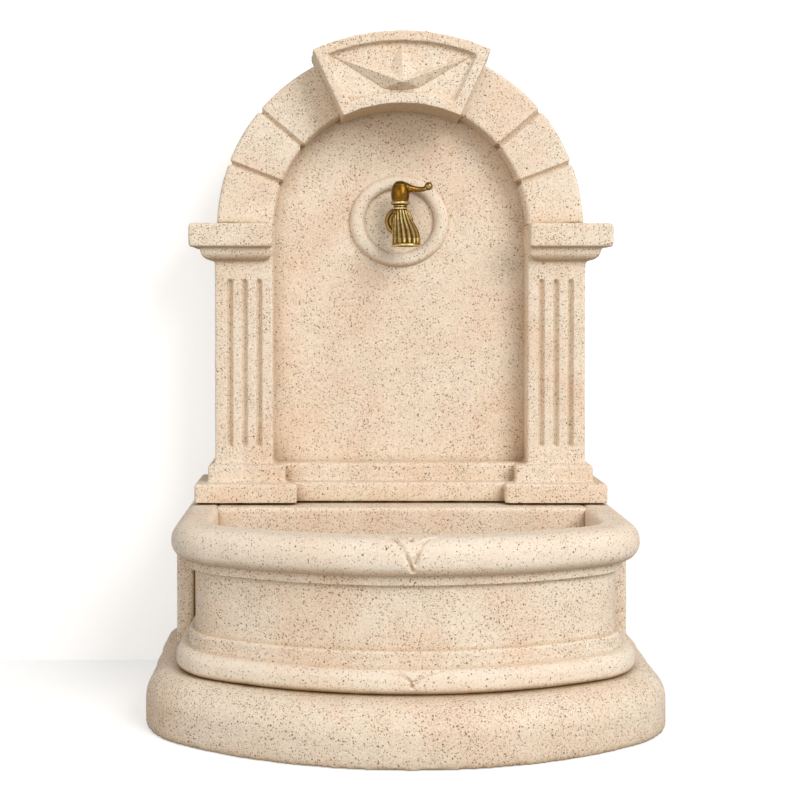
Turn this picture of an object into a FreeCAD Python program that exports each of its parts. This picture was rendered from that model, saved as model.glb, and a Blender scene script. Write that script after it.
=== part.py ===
import FreeCAD, Part
import math
import os
import re

import Sketcher

# Garden wall fountain of cast stone: a bow-fronted basin on a base slab, an arched back panel that
# stands on the basin's rear ledge, a lever tap in the panel and a waste in the basin floor.
# +Z is up, +X is to the right seen from the front, and the front looks along -Y.
# The origin is on the ground, at the middle of the base slab. Every piece is drawn from the wall
# plane (y = 0, forward is -y), and its placement moves it back by half the overall depth.

SIZES = (
    ("total_depth", 485, "wall to the front of the base slab"),
    ("base_half", 383, "base slab, half width"),
    ("base_high", 82, "base slab, height"),
    ("base_bow", 550, "base slab, radius of the bowed front"),
    ("base_corner", 150, "base slab, radius of the front corners"),
    ("base_round", 44, "base slab, rounding of the top edge"),
    ("body_half", 307, "basin frieze, half width"),
    ("body_front", 401, "wall to the front of the basin frieze"),
    ("body_bow", 545, "basin frieze, radius of the bowed front"),
    ("body_corner", 80, "basin frieze, radius of the front corners"),
    ("torus_out", 28, "bottom roll, how far it stands out from the frieze"),
    ("torus_high", 34, "bottom roll, height"),
    ("plinth_out", 9, "fillet over the bottom roll, how far it stands out"),
    ("plinth_high", 23, "fillet over the bottom roll, height"),
    ("frieze_high", 89, "frieze, height"),
    ("neck_out", 10, "fillet under the rim, how far it stands out"),
    ("neck_high", 14, "fillet under the rim, height"),
    ("rim_out", 35, "rim roll, how far it stands out from the frieze"),
    ("rim_high", 54, "rim roll, height"),
    ("rim_wide", 60, "rim roll, width across its top"),
    ("rim_inner_round", 10, "rim roll, rounding of its inner edge"),
    ("ledge_deep", 150, "rear ledge that carries the panel"),
    ("floor_thick", 45, "basin floor, thickness"),
    ("pier_half", 344, "rear piers of the basin, half width over both"),
    ("pier_deep", 155, "rear piers of the basin, depth"),
    ("pier_wide", 21, "rear piers of the basin, width of the front strip"),
    ("reveal", 40, "recess between the piers and the frieze, depth"),
    ("slab_thick", 47, "back panel, thickness at the recessed field"),
    ("relief", 48, "pilasters and arch, how far they stand out of the field"),
    ("panel_half", 295, "pilasters, half width over both"),
    ("field_half", 204, "recessed field, half width"),
    ("arch_outer", 293, "arch, outer radius"),
    ("arch_drop", 8, "arch centre below the top of the capitals"),
    ("foot_low", 33, "lower base block, height"),
    ("foot_high", 28, "upper base block, height"),
    ("foot_low_out", 28, "lower base block, how far it stands out of the pilaster at the side"),
    ("foot_high_out", 9, "upper base block, how far it stands out of the pilaster at the side"),
    ("foot_low_in", 39, "lower base block, how far it reaches into the field"),
    ("foot_high_in", 20, "upper base block, how far it reaches into the field"),
    ("foot_low_deep", 125, "lower base block, depth from the wall"),
    ("foot_high_deep", 107, "upper base block, depth from the wall"),
    ("sill_low_deep", 103, "lower sill band, depth from the wall"),
    ("sill_high_deep", 80, "upper sill band, depth from the wall"),
    ("shaft_high", 325, "pilaster shaft, height"),
    ("ovolo_high", 21, "moulding under the abacus, height"),
    ("ovolo_out", 22, "moulding under the abacus, how far it stands out"),
    ("abacus_high", 39, "abacus, height"),
    ("abacus_out", 39, "abacus, how far it stands out at the side and the front"),
    ("edge_round", 5, "rounding of the block edges"),
    ("key_top_half", 136, "keystone, half width at its top corners"),
    ("key_low_half", 90, "keystone, half width at its lower corners"),
    ("key_top", 1011, "keystone, height of its top corners"),
    ("key_low", 910, "keystone, height of its lower corners"),
    ("key_crown", 29, "keystone, rise of the top arc"),
    ("key_belly", 16, "keystone, rise of the lower arc"),
    ("key_proud", 60, "keystone, how far it stands out of the arch"),
    ("key_splay", 9, "keystone, how far its sides splay towards the arch"),
    ("key_border", 19, "keystone, width of the raised border"),
    ("key_sunk", 9, "keystone, depth of the sunk field"),
    ("star_high", 15, "star in the sunk field, height of its point"),
    ("star_arm", 20, "star, half width where its arms meet"),
    ("groove_wide", 11, "joint grooves of the arch stones, width of the cutting bar"),
    ("groove_low", 21, "angle of the lower joint groove above the springing"),
    ("groove_mid", 40, "angle of the upper joint groove above the springing"),
    ("flute_pitch", 23.4, "pilaster flutes, spacing"),
    ("flute_long", 262, "pilaster flutes, length"),
    ("flute_radius", 3.6, "pilaster flutes, radius of the cutter"),
    ("flute_deep", 3.2, "pilaster flutes, depth"),
    ("chase_half", 22, "pipe chase in the back, half width"),
    ("chase_deep", 34, "pipe chase in the back, depth"),
    ("ring_wide", 69, "stone ring round the tap, half width to its middle line"),
    ("ring_tall", 63, "stone ring round the tap, half height to its middle line"),
    ("ring_section", 12.5, "stone ring round the tap, radius of its section"),
    ("dowel_radius", 5, "steel dowels between basin and panel, radius"),
    ("dowel_long", 80, "steel dowels, length"),
    ("dowel_x", 240, "steel dowels, distance from the middle"),
    ("stone_fit", 0.25, "radial room round pieces set in the stone"),
    ("tap_high", 748, "tap, height of the inlet above the ground"),
    ("tap_reach", 45, "tap, from the panel's field to its upright axis"),
    ("tail_radius", 10.4, "tap, radius of the G1/2 tail thread"),
    ("pipe_radius", 7.5, "supply pipe, radius"),
    ("union_low", 44, "supply, height of the threaded end above the ground"),
    ("pipe_back", 13, "supply pipe, distance from the wall to its axis"),
    ("spindle_radius", 4, "valve spindle, radius"),
    ("running", 0.05, "radial clearance of a running fit"),
    ("waste_radius", 20.9, "basin waste, radius of the G1 1/4 tail"),
    ("spigot_step", 0.9, "basin waste, how much slimmer the plain spigot is than the thread"),
    ("waste_back", 263, "basin waste, distance from the wall"),
)
ALIASES = [row[0] for row in SIZES]

doc = FreeCAD.newDocument("wall_fountain")
sheet = doc.addObject("Spreadsheet::Sheet", "sizes")
for row, (alias, number, note) in enumerate(SIZES, 1):
    sheet.set("A%d" % row, alias)
    sheet.set("B%d" % row, str(number))
    sheet.set("C%d" % row, note)
    sheet.setAlias("B%d" % row, alias)
working = doc.addObject("Spreadsheet::Sheet", "working")
doc.recompute()

NODES = []


def bound(words):
    """An expression on the sheet, from words that use the aliases."""
    return re.sub(
        r"[a-z_]+", lambda m: "sizes." + m.group() if m.group() in ALIASES else m.group(), str(words)
    )


def size(words):
    """The present value of an expression, worked out in a cell of the second sheet."""
    working.set("A1", "=" + bound(words))
    working.recompute()
    return float(working.get("A1"))


def place(item, x="0", back="0", z="0", turn=None):
    """Puts an item at x, at a distance forward of the wall, at a height, turned if need be."""
    if turn is not None:
        item.Placement = FreeCAD.Placement(FreeCAD.Vector(), turn)
    item.setExpression(".Placement.Base.x", bound(x))
    item.setExpression(".Placement.Base.y", bound("total_depth / 2 - (%s)" % back))
    item.setExpression(".Placement.Base.z", bound(z))


def node(item, label):
    item.Label = label
    NODES.append(item)
    return item


# Sketches


def sketch_on(body, name, role, offset="0"):
    sketch = body.newObject("Sketcher::SketchObject", name)
    plane = [item for item in body.Origin.OriginFeatures if item.Role == role][0]
    sketch.AttachmentSupport = [(plane, "")]
    sketch.MapMode = "FlatFace"
    sketch.setExpression(".AttachmentOffset.Base.z", bound(offset))
    return sketch


def constrain(sketch, kind, words, *points):
    index = sketch.addConstraint(Sketcher.Constraint(kind, *points, size(words)))
    sketch.setExpression("Constraints[%d]" % index, bound(words))


def polygon(sketch, corners):
    """A closed outline of straight edges and arcs. A corner is (x, y), or (x, y, radius) where
    the edge that leaves it is an arc: a positive radius turns left, a negative one right."""
    first = sketch.GeometryCount
    count = len(corners)
    points = [FreeCAD.Vector(size(corner[0]), size(corner[1]), 0) for corner in corners]
    ends = []
    for i, corner in enumerate(corners):
        start, end = points[i], points[(i + 1) % count]
        if len(corner) == 2:
            sketch.addGeometry(Part.LineSegment(start, end))
            ends.append((1, 2))
            continue
        radius = size(corner[2])
        chord = end - start
        middle = (start + end) * 0.5
        rise = math.sqrt(radius * radius - chord.Length * chord.Length / 4)
        left = FreeCAD.Vector(-chord.y, chord.x, 0).normalize()
        centre = middle + left * math.copysign(rise, radius)
        circle = Part.Circle(centre, FreeCAD.Vector(0, 0, 1), abs(radius))
        if radius > 0:
            ends.append((1, 2))
        else:
            ends.append((2, 1))
            start, end = end, start
        angles = [math.atan2(p.y - centre.y, p.x - centre.x) for p in (start, end)]
        sketch.addGeometry(Part.ArcOfCircle(circle, *angles))
        constrain(sketch, "Radius", "abs(%s)" % corner[2], first + i)
    for i in range(count):
        j = (i + 1) % count
        sketch.addConstraint(
            Sketcher.Constraint("Coincident", first + i, ends[i][1], first + j, ends[j][0])
        )
    for i, corner in enumerate(corners):
        constrain(sketch, "DistanceX", corner[0], -1, 1, first + i, ends[i][0])
        constrain(sketch, "DistanceY", corner[1], -1, 1, first + i, ends[i][0])


def bow_outline(sketch, half, back, front, bow, corner):
    """The plan of the basin and its base: straight back and sides, rounded corners, bowed front."""
    half_, back_, front_, bow_, corner_ = (size(w) for w in (half, back, front, bow, corner))
    centre = FreeCAD.Vector(0, bow_ - front_, 0)
    turn = half_ - corner_
    level = centre.y - math.sqrt((bow_ - corner_) ** 2 - turn**2)
    reach = bow_ / (bow_ - corner_)
    right = FreeCAD.Vector(turn, level, 0)
    left = FreeCAD.Vector(-turn, level, 0)
    touch_right = centre + (right - centre) * reach
    touch_left = centre + (left - centre) * reach

    def arc(middle, radius, start, end):
        angles = [math.atan2(p.y - middle.y, p.x - middle.x) for p in (start, end)]
        circle = Part.Circle(middle, FreeCAD.Vector(0, 0, 1), radius)
        sketch.addGeometry(Part.ArcOfCircle(circle, *angles))

    back_left = FreeCAD.Vector(-half_, -back_, 0)
    back_right = FreeCAD.Vector(half_, -back_, 0)
    side_right = FreeCAD.Vector(half_, level, 0)
    side_left = FreeCAD.Vector(-half_, level, 0)
    sketch.addGeometry(Part.LineSegment(back_left, back_right))
    sketch.addGeometry(Part.LineSegment(back_right, side_right))
    arc(right, corner_, touch_right, side_right)
    arc(centre, bow_, touch_left, touch_right)
    arc(left, corner_, side_left, touch_left)
    sketch.addGeometry(Part.LineSegment(side_left, back_left))
    for kind, *points in (
        ("Coincident", 0, 2, 1, 1),
        ("Tangent", 1, 2, 2, 2),
        ("Tangent", 2, 1, 3, 2),
        ("Tangent", 3, 1, 4, 2),
        ("Tangent", 4, 1, 5, 1),
        ("Coincident", 5, 2, 0, 1),
        ("Horizontal", 0),
        ("Vertical", 1),
        ("Vertical", 5),
        ("Equal", 2, 4),
        ("PointOnObject", 3, 3, -2),
    ):
        sketch.addConstraint(Sketcher.Constraint(kind, *points))
    constrain(sketch, "DistanceX", half, -1, 1, 1, 1)
    constrain(sketch, "DistanceY", "-(%s)" % back, -1, 1, 1, 1)
    constrain(sketch, "DistanceX", "-(%s)" % half, -1, 1, 0, 1)
    constrain(sketch, "Radius", corner, 2)
    constrain(sketch, "Radius", bow, 3)
    constrain(sketch, "DistanceY", "%s - (%s)" % (bow, front), -1, 1, 3, 3)


# Features


def new_body(name):
    return doc.addObject("PartDesign::Body", name)


def pad(body, sketch, length, taper=None):
    feature = body.newObject("PartDesign::Pad", sketch.Name + "_pad")
    feature.Profile = sketch
    feature.setExpression("Length", bound(length))
    if taper is not None:
        feature.setExpression("TaperAngle", bound(taper))
    sketch.Visibility = False
    return feature


def round_edges(body, name, radius, chosen):
    """Rounds the edges of the body's last feature for which chosen(edge) is true."""
    doc.recompute()
    base = body.Tip
    edges = ["Edge%d" % (i + 1) for i, edge in enumerate(base.Shape.Edges) if chosen(edge)]
    fillet = body.newObject("PartDesign::Fillet", name)
    fillet.Base = (base, edges)
    fillet.setExpression("Radius", bound(radius))
    return fillet


def turned(name, profile):
    """A body turned about its own upright axis. A corner of the profile is (radius, height)."""
    body = new_body(name)
    sketch = sketch_on(body, name + "_profile", "XZ_Plane")
    polygon(sketch, profile)
    feature = body.newObject("PartDesign::Revolution", name + "_turned")
    feature.Profile = sketch
    feature.ReferenceAxis = (sketch, ["V_Axis"])
    feature.Angle = 360
    return body


def ring(inner, outer, low, high):
    return [(inner, low), (outer, low), (outer, high), (inner, high)]


def cut(name, base, tool):
    item = doc.addObject("Part::Cut", name)
    item.Base = base
    item.Tool = tool
    return item


def fuse(name, items):
    item = doc.addObject("Part::MultiFuse", name)
    item.Shapes = items
    return item


def block(name, x_low, x_high, back_low, back_high, z_low, z_high, radius=None, keep_back=True):
    """A box from the wall plane's point of view, with its front and outer edges rounded."""
    box = doc.addObject("Part::Box", name)
    box.setExpression("Length", bound("(%s) - (%s)" % (x_high, x_low)))
    box.setExpression("Width", bound("(%s) - (%s)" % (back_high, back_low)))
    box.setExpression("Height", bound("(%s) - (%s)" % (z_high, z_low)))
    box.setExpression(".Placement.Base.x", bound(x_low))
    box.setExpression(".Placement.Base.y", bound("-(%s)" % back_high))
    box.setExpression(".Placement.Base.z", bound(z_low))
    if radius is None:
        return box
    doc.recompute()
    wall = -size(back_low)
    rounded = doc.addObject("Part::Fillet", name + "_rounded")
    rounded.Base = box
    rounded.Edges = [
        (i + 1, size(radius), size(radius))
        for i, edge in enumerate(box.Shape.Edges)
        if not (keep_back and edge.BoundBox.YMax > wall - 0.01 and edge.BoundBox.YLength < 0.01)
    ]
    return rounded


def rod(name, radius, x, back, z, length, along):
    """A plain cylinder from a point: along +Z ("up"), or towards the front ("out")."""
    item = doc.addObject("Part::Cylinder", name)
    item.setExpression("Radius", bound(radius))
    item.setExpression("Height", bound(length))
    if along == "out":
        item.Placement = FreeCAD.Placement(
            FreeCAD.Vector(), FreeCAD.Rotation(FreeCAD.Vector(1, 0, 0), 90)
        )
    item.setExpression(".Placement.Base.x", bound(x))
    item.setExpression(".Placement.Base.y", bound("-(%s)" % back))
    item.setExpression(".Placement.Base.z", bound(z))
    return item


OUTWARD = FreeCAD.Rotation(FreeCAD.Vector(1, 0, 0), 90)
INWARD = FreeCAD.Rotation(FreeCAD.Vector(1, 0, 0), -90)

# Levels, from the ground up
PLINTH = "base_high + torus_high"
FRIEZE = PLINTH + " + plinth_high"
NECK = FRIEZE + " + frieze_high"
RIM = NECK + " + neck_high"
LEDGE = RIM + " + rim_high"
FLOOR = "base_high + floor_thick"
FOOT_MID = LEDGE + " + foot_low"
SHAFT = FOOT_MID + " + foot_high"
OVOLO = SHAFT + " + shaft_high"
ABACUS = OVOLO + " + ovolo_high"
SPRINGING = ABACUS + " + abacus_high"
ARCH_CENTRE = SPRINGING + " - arch_drop"
FACE = "slab_thick + relief"


def rolled(name, out, low, high, rounding_low, rounding_high):
    """One course of the basin: the frieze's plan moved outwards, with rounded edges."""
    body = new_body(name)
    sketch = sketch_on(body, name + "_plan", "XY_Plane", low)
    bow_outline(
        sketch,
        "body_half + " + out,
        "0",
        "body_front + " + out,
        "body_bow + " + out,
        "body_corner + " + out,
    )
    pad(body, sketch, "(%s) - (%s)" % (high, low))
    for level, rounding, word in ((low, rounding_low, "_low"), (high, rounding_high, "_high")):
        if rounding is not None:
            round_edges(
                body,
                name + word,
                rounding,
                lambda edge: abs(edge.BoundBox.ZMax - size(level)) < 0.01
                and edge.BoundBox.ZLength < 0.01
                and edge.BoundBox.YLength > 0.01,
            )
    return body


# Base slab


def base_slab():
    body = new_body("base_stone")
    sketch = sketch_on(body, "base_plan", "XY_Plane")
    bow_outline(sketch, "base_half", "0", "total_depth", "base_bow", "base_corner")
    pad(body, sketch, "base_high")
    round_edges(
        body,
        "base_top_edge",
        "base_round",
        lambda edge: edge.BoundBox.ZMin > size("base_high") - 0.01 and edge.BoundBox.YLength > 0.01,
    )
    chase = block("base_chase", "-chase_half", "chase_half", "-1", "chase_deep", "-1", "base_high + 1")
    well = rod("base_well", "waste_radius + 25", "0", "waste_back", "-1", "base_high + 2", "up")
    return cut("base_cut", body, fuse("base_tools", [chase, well]))


# Basin


def basin():
    courses = [
        rolled("basin_torus", "torus_out", "base_high", PLINTH, "12", "15"),
        rolled("basin_plinth", "plinth_out", PLINTH, FRIEZE, None, "5"),
        rolled("basin_frieze", "0", FRIEZE, NECK, None, None),
        rolled("basin_neck", "neck_out", NECK, RIM, "4", None),
        rolled("basin_rim", "rim_out", RIM, LEDGE, "24", "26"),
    ]
    for side, sign in (("left", -1), ("right", 1)):
        for name, inner, outer, deep in (
            ("pier", "pier_half - pier_wide", "pier_half", "pier_deep"),
            ("reveal", "body_half - 20", "pier_half - pier_wide + 2", "pier_deep - reveal"),
        ):
            ends = (inner, outer) if sign > 0 else ("-(%s)" % outer, "-(%s)" % inner)
            courses.append(
                block(
                    "basin_%s_%s" % (name, side),
                    ends[0],
                    ends[1],
                    "0",
                    deep,
                    "base_high",
                    RIM + " + 20",
                    "4" if name == "pier" else None,
                )
            )
    hollow = new_body("basin_hollow")
    sketch = sketch_on(hollow, "hollow_plan", "XY_Plane", FLOOR)
    inner = "rim_out - rim_wide"
    bow_outline(
        sketch,
        "body_half + " + inner,
        "ledge_deep",
        "body_front + " + inner,
        "body_bow + " + inner,
        "body_corner + " + inner,
    )
    pad(hollow, sketch, "%s - (%s) + 30" % (LEDGE, FLOOR))
    round_edges(
        hollow,
        "hollow_floor_edge",
        "22",
        lambda edge: edge.BoundBox.ZMax < size(FLOOR) + 0.01,
    )
    tools = [
        hollow,
        block("basin_chase", "-chase_half", "chase_half", "-1", "chase_deep", "0", LEDGE + " + 1"),
        rod("basin_waste_hole", "waste_radius + 1", "0", "waste_back", "0", FLOOR + " + 1", "up"),
        rod("basin_nut_pocket", "waste_radius + 19", "0", "waste_back", "0", FLOOR + " - 22", "up"),
    ]
    tools += dowel_holes("basin")
    bowl = cut("basin_cut", fuse("basin_stone", courses), fuse("basin_tools", tools))
    doc.recompute()
    soft = doc.addObject("Part::Fillet", "basin_inner_edge")
    soft.Base = bowl
    inner_half = size("body_half + rim_out - rim_wide") + 1
    soft.Edges = [
        (i + 1, size("rim_inner_round"), size("rim_inner_round"))
        for i, edge in enumerate(bowl.Shape.Edges)
        if edge.BoundBox.ZMin > size(LEDGE) - 0.01
        and edge.BoundBox.YMax < -size("ledge_deep") + 1
        and max(abs(edge.BoundBox.XMin), abs(edge.BoundBox.XMax)) < inner_half
    ]
    return soft


def dowel_holes(name):
    """Holes for the two dowels, half in the rear ledge and half in the panel."""
    return [
        rod(
            "%s_dowel_hole_%s" % (name, side),
            "dowel_radius + stone_fit",
            sign + "dowel_x",
            "slab_thick",
            LEDGE + " - dowel_long / 2",
            "dowel_long + 1",
            "up",
        )
        for side, sign in (("left", "-"), ("right", ""))
    ]


# Back panel


def stone_outline(sketch, half, foot, radius):
    """Upright sides from the foot to the springing, then the arc of the arch."""
    head = "(sqrt((%s)^2 - arch_drop^2))" % radius
    polygon(
        sketch,
        [
            ("-(%s)" % half, foot),
            (half, foot),
            (half, SPRINGING),
            (head, SPRINGING, radius),
            ("0", "%s + %s" % (ARCH_CENTRE, radius), radius),
            ("-" + head, SPRINGING),
            ("-(%s)" % half, SPRINGING),
        ],
    )


def back_panel():
    slab = new_body("panel_slab")
    outline = sketch_on(slab, "slab_outline", "XZ_Plane")
    stone_outline(outline, "panel_half", LEDGE, "arch_outer")
    pad(slab, outline, FACE)
    field = new_body("panel_field")
    opening = sketch_on(field, "field_outline", "XZ_Plane", "slab_thick")
    stone_outline(opening, "field_half", FOOT_MID, "field_half - 0.5")
    pad(field, opening, "relief + 20")
    surround = cut("panel_surround", slab, field)
    parts = [surround]
    for name, deep, low, high in (
        ("sill_low", "sill_low_deep", LEDGE, FOOT_MID),
        ("sill_high", "sill_high_deep", FOOT_MID + " - 10", SHAFT),
    ):
        ends = ("-field_half - 5", "field_half + 5")
        parts.append(block(name, ends[0], ends[1], "5", deep, low, high, "edge_round"))
    for side, sign in (("left", -1), ("right", 1)):
        parts += pilaster_blocks(side, sign)
    parts.append(keystone())
    parts.append(tap_ring())
    stone = fuse("panel_stone", parts)
    tools = [
        block("panel_chase", "-chase_half", "chase_half", "-1", "chase_deep", "0", "tap_high + 40"),
        rod("panel_tap_hole", "tail_radius + 2.5", "0", "0", "tap_high", "slab_thick + 30", "out"),
    ]
    tools += dowel_holes("panel")
    tools += joint_grooves()
    tools += flutes()
    return cut("panel_cut", stone, fuse("panel_tools", tools))


def pilaster_blocks(side, sign):
    """Base blocks, ovolo and abacus of one pilaster."""

    def across(name, inner, outer, deep, low, high, radius):
        ends = (inner, outer) if sign > 0 else ("-(%s)" % outer, "-(%s)" % inner)
        return block("%s_%s" % (name, side), ends[0], ends[1], "0", deep, low, high, radius)

    ovolo = "panel_half + ovolo_out"
    return [
        across(
            "foot_low",
            "field_half - foot_low_in",
            "panel_half + foot_low_out",
            "foot_low_deep",
            LEDGE,
            FOOT_MID,
            "edge_round",
        ),
        across(
            "foot_high",
            "field_half - foot_high_in",
            "panel_half + foot_high_out",
            "foot_high_deep",
            FOOT_MID + " - 12",
            SHAFT,
            "edge_round",
        ),
        across(
            "ovolo",
            "field_half - 1",
            ovolo,
            FACE + " + ovolo_out",
            OVOLO + " - 1",
            ABACUS + " + 20",
            "ovolo_high - 2",
        ),
        across(
            "abacus",
            "field_half - 2",
            "panel_half + abacus_out",
            FACE + " + abacus_out - 4",
            ABACUS,
            SPRINGING,
            "edge_round",
        ),
    ]


def joint_grooves():
    """Bars turned on edge that cut a V groove at each joint between the arch stones."""
    bars = []
    for side, sign in (("left", "180 - "), ("right", "")):
        for name, angle in (("low", "groove_low"), ("mid", "groove_mid")):
            bar = doc.addObject("Part::Box", "groove_%s_%s" % (name, side))
            bar.setExpression("Length", bound("arch_outer - field_half + 40"))
            bar.setExpression("Width", bound("groove_wide"))
            bar.setExpression("Height", bound("groove_wide"))
            degrees = size(sign + angle)
            upright = FreeCAD.Rotation(FreeCAD.Vector(0, -1, 0), degrees)
            edgewise = FreeCAD.Rotation(FreeCAD.Vector(1, 0, 0), 45)
            start = size("field_half - 20")
            bar.Placement = FreeCAD.Placement(
                FreeCAD.Vector(
                    start * math.cos(math.radians(degrees)),
                    -size(FACE),
                    size(ARCH_CENTRE) + start * math.sin(math.radians(degrees)),
                ),
                upright.multiply(edgewise),
            )
            edge = bar.Placement.Rotation.multVec(FreeCAD.Vector(0, 1, 1))
            bar.Placement.Base = bar.Placement.Base - edge * size("groove_wide / 2")
            bars.append(bar)
    return bars


def flutes():
    """Slim turned cutters with pointed ends, three to a pilaster."""
    cutters = []
    for side, sign in (("left", -1), ("right", 1)):
        for step in (-1, 0, 1):
            name = "flute_%s_%d" % (side, step + 2)
            body = turned(
                name,
                [
                    ("0", "0"),
                    ("flute_radius", "flute_radius * 3"),
                    ("flute_radius", "flute_long - flute_radius * 3"),
                    ("0", "flute_long"),
                ],
            )
            middle = "(field_half + panel_half) / 2 + %d * flute_pitch" % step
            body.setExpression(".Placement.Base.x", bound("%d * (%s)" % (sign, middle)))
            body.setExpression(
                ".Placement.Base.y", bound("-(%s + flute_radius - flute_deep)" % FACE)
            )
            body.setExpression(
                ".Placement.Base.z", bound("(%s + %s - flute_long) / 2 - 2" % (SHAFT, OVOLO))
            )
            cutters.append(body)
    return cutters


def key_outline(sketch, inset):
    """The keystone's outline, moved inwards by inset."""
    top = "(key_top_half - %s)" % inset
    low = "(key_low_half - %s * 0.8)" % inset
    crown = "key_crown"
    belly = "key_belly"
    top_level = "key_top - %s * 0.6" % inset
    low_level = "key_low + %s * 1.1" % inset
    top_bend = "((%s^2 + %s^2) / (2 * %s))" % (top, crown, crown)
    low_bend = "((%s^2 + %s^2) / (2 * %s))" % (low, belly, belly)
    polygon(
        sketch,
        [
            ("-" + low, low_level, "-" + low_bend),
            (low, low_level),
            (top, top_level, top_bend),
            ("-" + top, top_level),
        ],
    )


def keystone():
    body = new_body("keystone_body")
    face = sketch_on(body, "keystone_back", "XZ_Plane", "slab_thick")
    key_outline(face, "(-key_splay)")
    front = sketch_on(body, "keystone_front", "XZ_Plane", "slab_thick + relief + key_proud")
    key_outline(front, "0")
    loft = body.newObject("PartDesign::AdditiveLoft", "keystone_loft")
    loft.Profile = face
    loft.Sections = [front]
    loft.Ruled = True
    round_edges(
        body,
        "keystone_edge",
        "4",
        lambda edge: edge.BoundBox.YMax < -size("slab_thick + relief + key_proud") + 0.01,
    )
    sunk = sketch_on(body, "keystone_sunk", "XZ_Plane", "slab_thick + relief + key_proud")
    key_outline(sunk, "key_border")
    pocket = body.newObject("PartDesign::Pocket", "keystone_pocket")
    pocket.Profile = sunk
    pocket.setExpression("Length", bound("key_sunk"))
    return fuse("keystone", [body, star()])


def star():
    """A faceted star with four arms, whose points end on the border of the sunk field."""
    face = size("slab_thick + relief + key_proud - key_sunk")
    top = size("key_top + key_crown - key_border * 0.9")
    low = size("key_low + key_belly + key_border * 1.2")
    side = size("key_top_half - key_border * 1.2")
    side_level = size("key_top - key_border * 0.6")
    arm = size("star_arm")
    middle = low + (top - low) * 0.37
    rim = [
        (0, top),
        (arm, middle + arm * 0.4),
        (side, side_level),
        (arm * 0.9, middle - arm * 0.95),
        (0, low),
        (-arm * 0.9, middle - arm * 0.95),
        (-side, side_level),
        (-arm, middle + arm * 0.4),
    ]
    floor = [FreeCAD.Vector(x, 1 - face, z) for x, z in rim]
    level = [FreeCAD.Vector(x, -face, z) for x, z in rim]
    point = FreeCAD.Vector(0, -face - size("star_high"), middle)
    faces = [Part.Face(Part.makePolygon(floor + floor[:1]))]
    for i in range(len(rim)):
        j = (i + 1) % len(rim)
        faces.append(Part.Face(Part.makePolygon([floor[i], floor[j], level[j], level[i], floor[i]])))
        faces.append(Part.Face(Part.makePolygon([level[i], level[j], point, level[i]])))
    return shaped("star", Part.Solid(Part.Shell(faces)))


def shaped(name, solid):
    item = doc.addObject("Part::Feature", name)
    if solid.Volume < 0:
        solid.reverse()
    item.Shape = solid
    return item


def tap_ring():
    """The rounded oval ring of stone round the tap."""
    plane = -size("slab_thick")
    wide = size("ring_wide")
    tall = size("ring_tall")
    high = size("tap_high")
    centre = FreeCAD.Vector(0, plane, high)
    spine = Part.Ellipse(
        centre + FreeCAD.Vector(wide, 0, 0), centre + FreeCAD.Vector(0, 0, tall), centre
    )
    upright = FreeCAD.Vector(0, 0, 1)
    section = Part.Circle(centre + FreeCAD.Vector(wide, 0, 0), upright, size("ring_section"))
    wire = Part.Wire(section.toShape())
    return shaped("ring_roll", Part.Wire(spine.toShape()).makePipeShell([wire], True, True))


# Dowels between the basin's ledge and the panel


def panel_dowels():
    low = LEDGE + " - dowel_long / 2"
    pins = [
        rod("dowel_" + side, "dowel_radius", sign + "dowel_x", "slab_thick", low, "dowel_long", "up")
        for side, sign in (("left", "-"), ("right", ""))
    ]
    return fuse("dowel_pair", pins)


# Tap. Its pieces are drawn from the point where the inlet meets the upright axis.

AXIS = "slab_thick + tap_reach"
TAIL_END = "slab_thick + tap_reach - pipe_back - 1"
SEAT = "-3"
NECK_TOP = "23"
GRIP = NECK_TOP + " + 0.4"
SPINDLE_TOP = NECK_TOP + " + 27"
SCREW_LEVEL = NECK_TOP + " + 19"
BORE = "spindle_radius + running"


def lofted(name, stations):
    """A solid through round sections. A station is (x, forward, z, radius, lean, turn)."""
    circles = []
    for number, (x, forward, z, radius, lean, turn) in enumerate(stations):
        circle = doc.addObject("Part::Circle", "%s_%d" % (name, number))
        circle.setExpression("Radius", bound(radius))
        leaning = FreeCAD.Rotation(FreeCAD.Vector(1, 0, 0), lean)
        turning = FreeCAD.Rotation(FreeCAD.Vector(0, 0, 1), turn)
        circle.Placement = FreeCAD.Placement(FreeCAD.Vector(), turning.multiply(leaning))
        circle.setExpression(".Placement.Base.x", bound(x))
        circle.setExpression(".Placement.Base.y", bound("-(%s)" % forward))
        circle.setExpression(".Placement.Base.z", bound(z))
        circles.append(circle)
    loft = doc.addObject("Part::Loft", name)
    loft.Sections = circles
    loft.Solid = True
    return loft


def facing(body, turn, y, z="0"):
    """Turns a piece's axis and sets where it starts, before it is joined to others."""
    body.Placement = FreeCAD.Placement(FreeCAD.Vector(), turn)
    body.setExpression(".Placement.Base.y", bound(y))
    body.setExpression(".Placement.Base.z", bound(z))
    return body


def drilled(name, radius, length, y, z, angle):
    """A round passage in the upright plane through the tap, from a point at an angle."""
    item = doc.addObject("Part::Cylinder", name)
    item.setExpression("Radius", bound(radius))
    item.setExpression("Height", bound(length))
    return facing(item, FreeCAD.Rotation(FreeCAD.Vector(1, 0, 0), angle), y, z)


def bell(name, thin, first):
    """The fluted spout's bell: it leans forward and a little to the right."""
    rows = (
        (0, 0, 11, 12.9, 0),
        (1.6, 3.6, 2, 15.2, -3),
        (4.2, 10, -14, 19.4, -6),
        (7.6, 18, -32, 22.3, -9),
        (9.2, 22, -42.5, 23, -10),
    )
    stations = [
        (x, forward, z, "%s - %s" % (radius, thin), lean, 22)
        for x, forward, z, radius, lean in rows[first:]
    ]
    if first:
        stations.append((9.8, 23.4, -46, "23 - " + thin, -10, 22))
    return lofted(name, stations)


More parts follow.
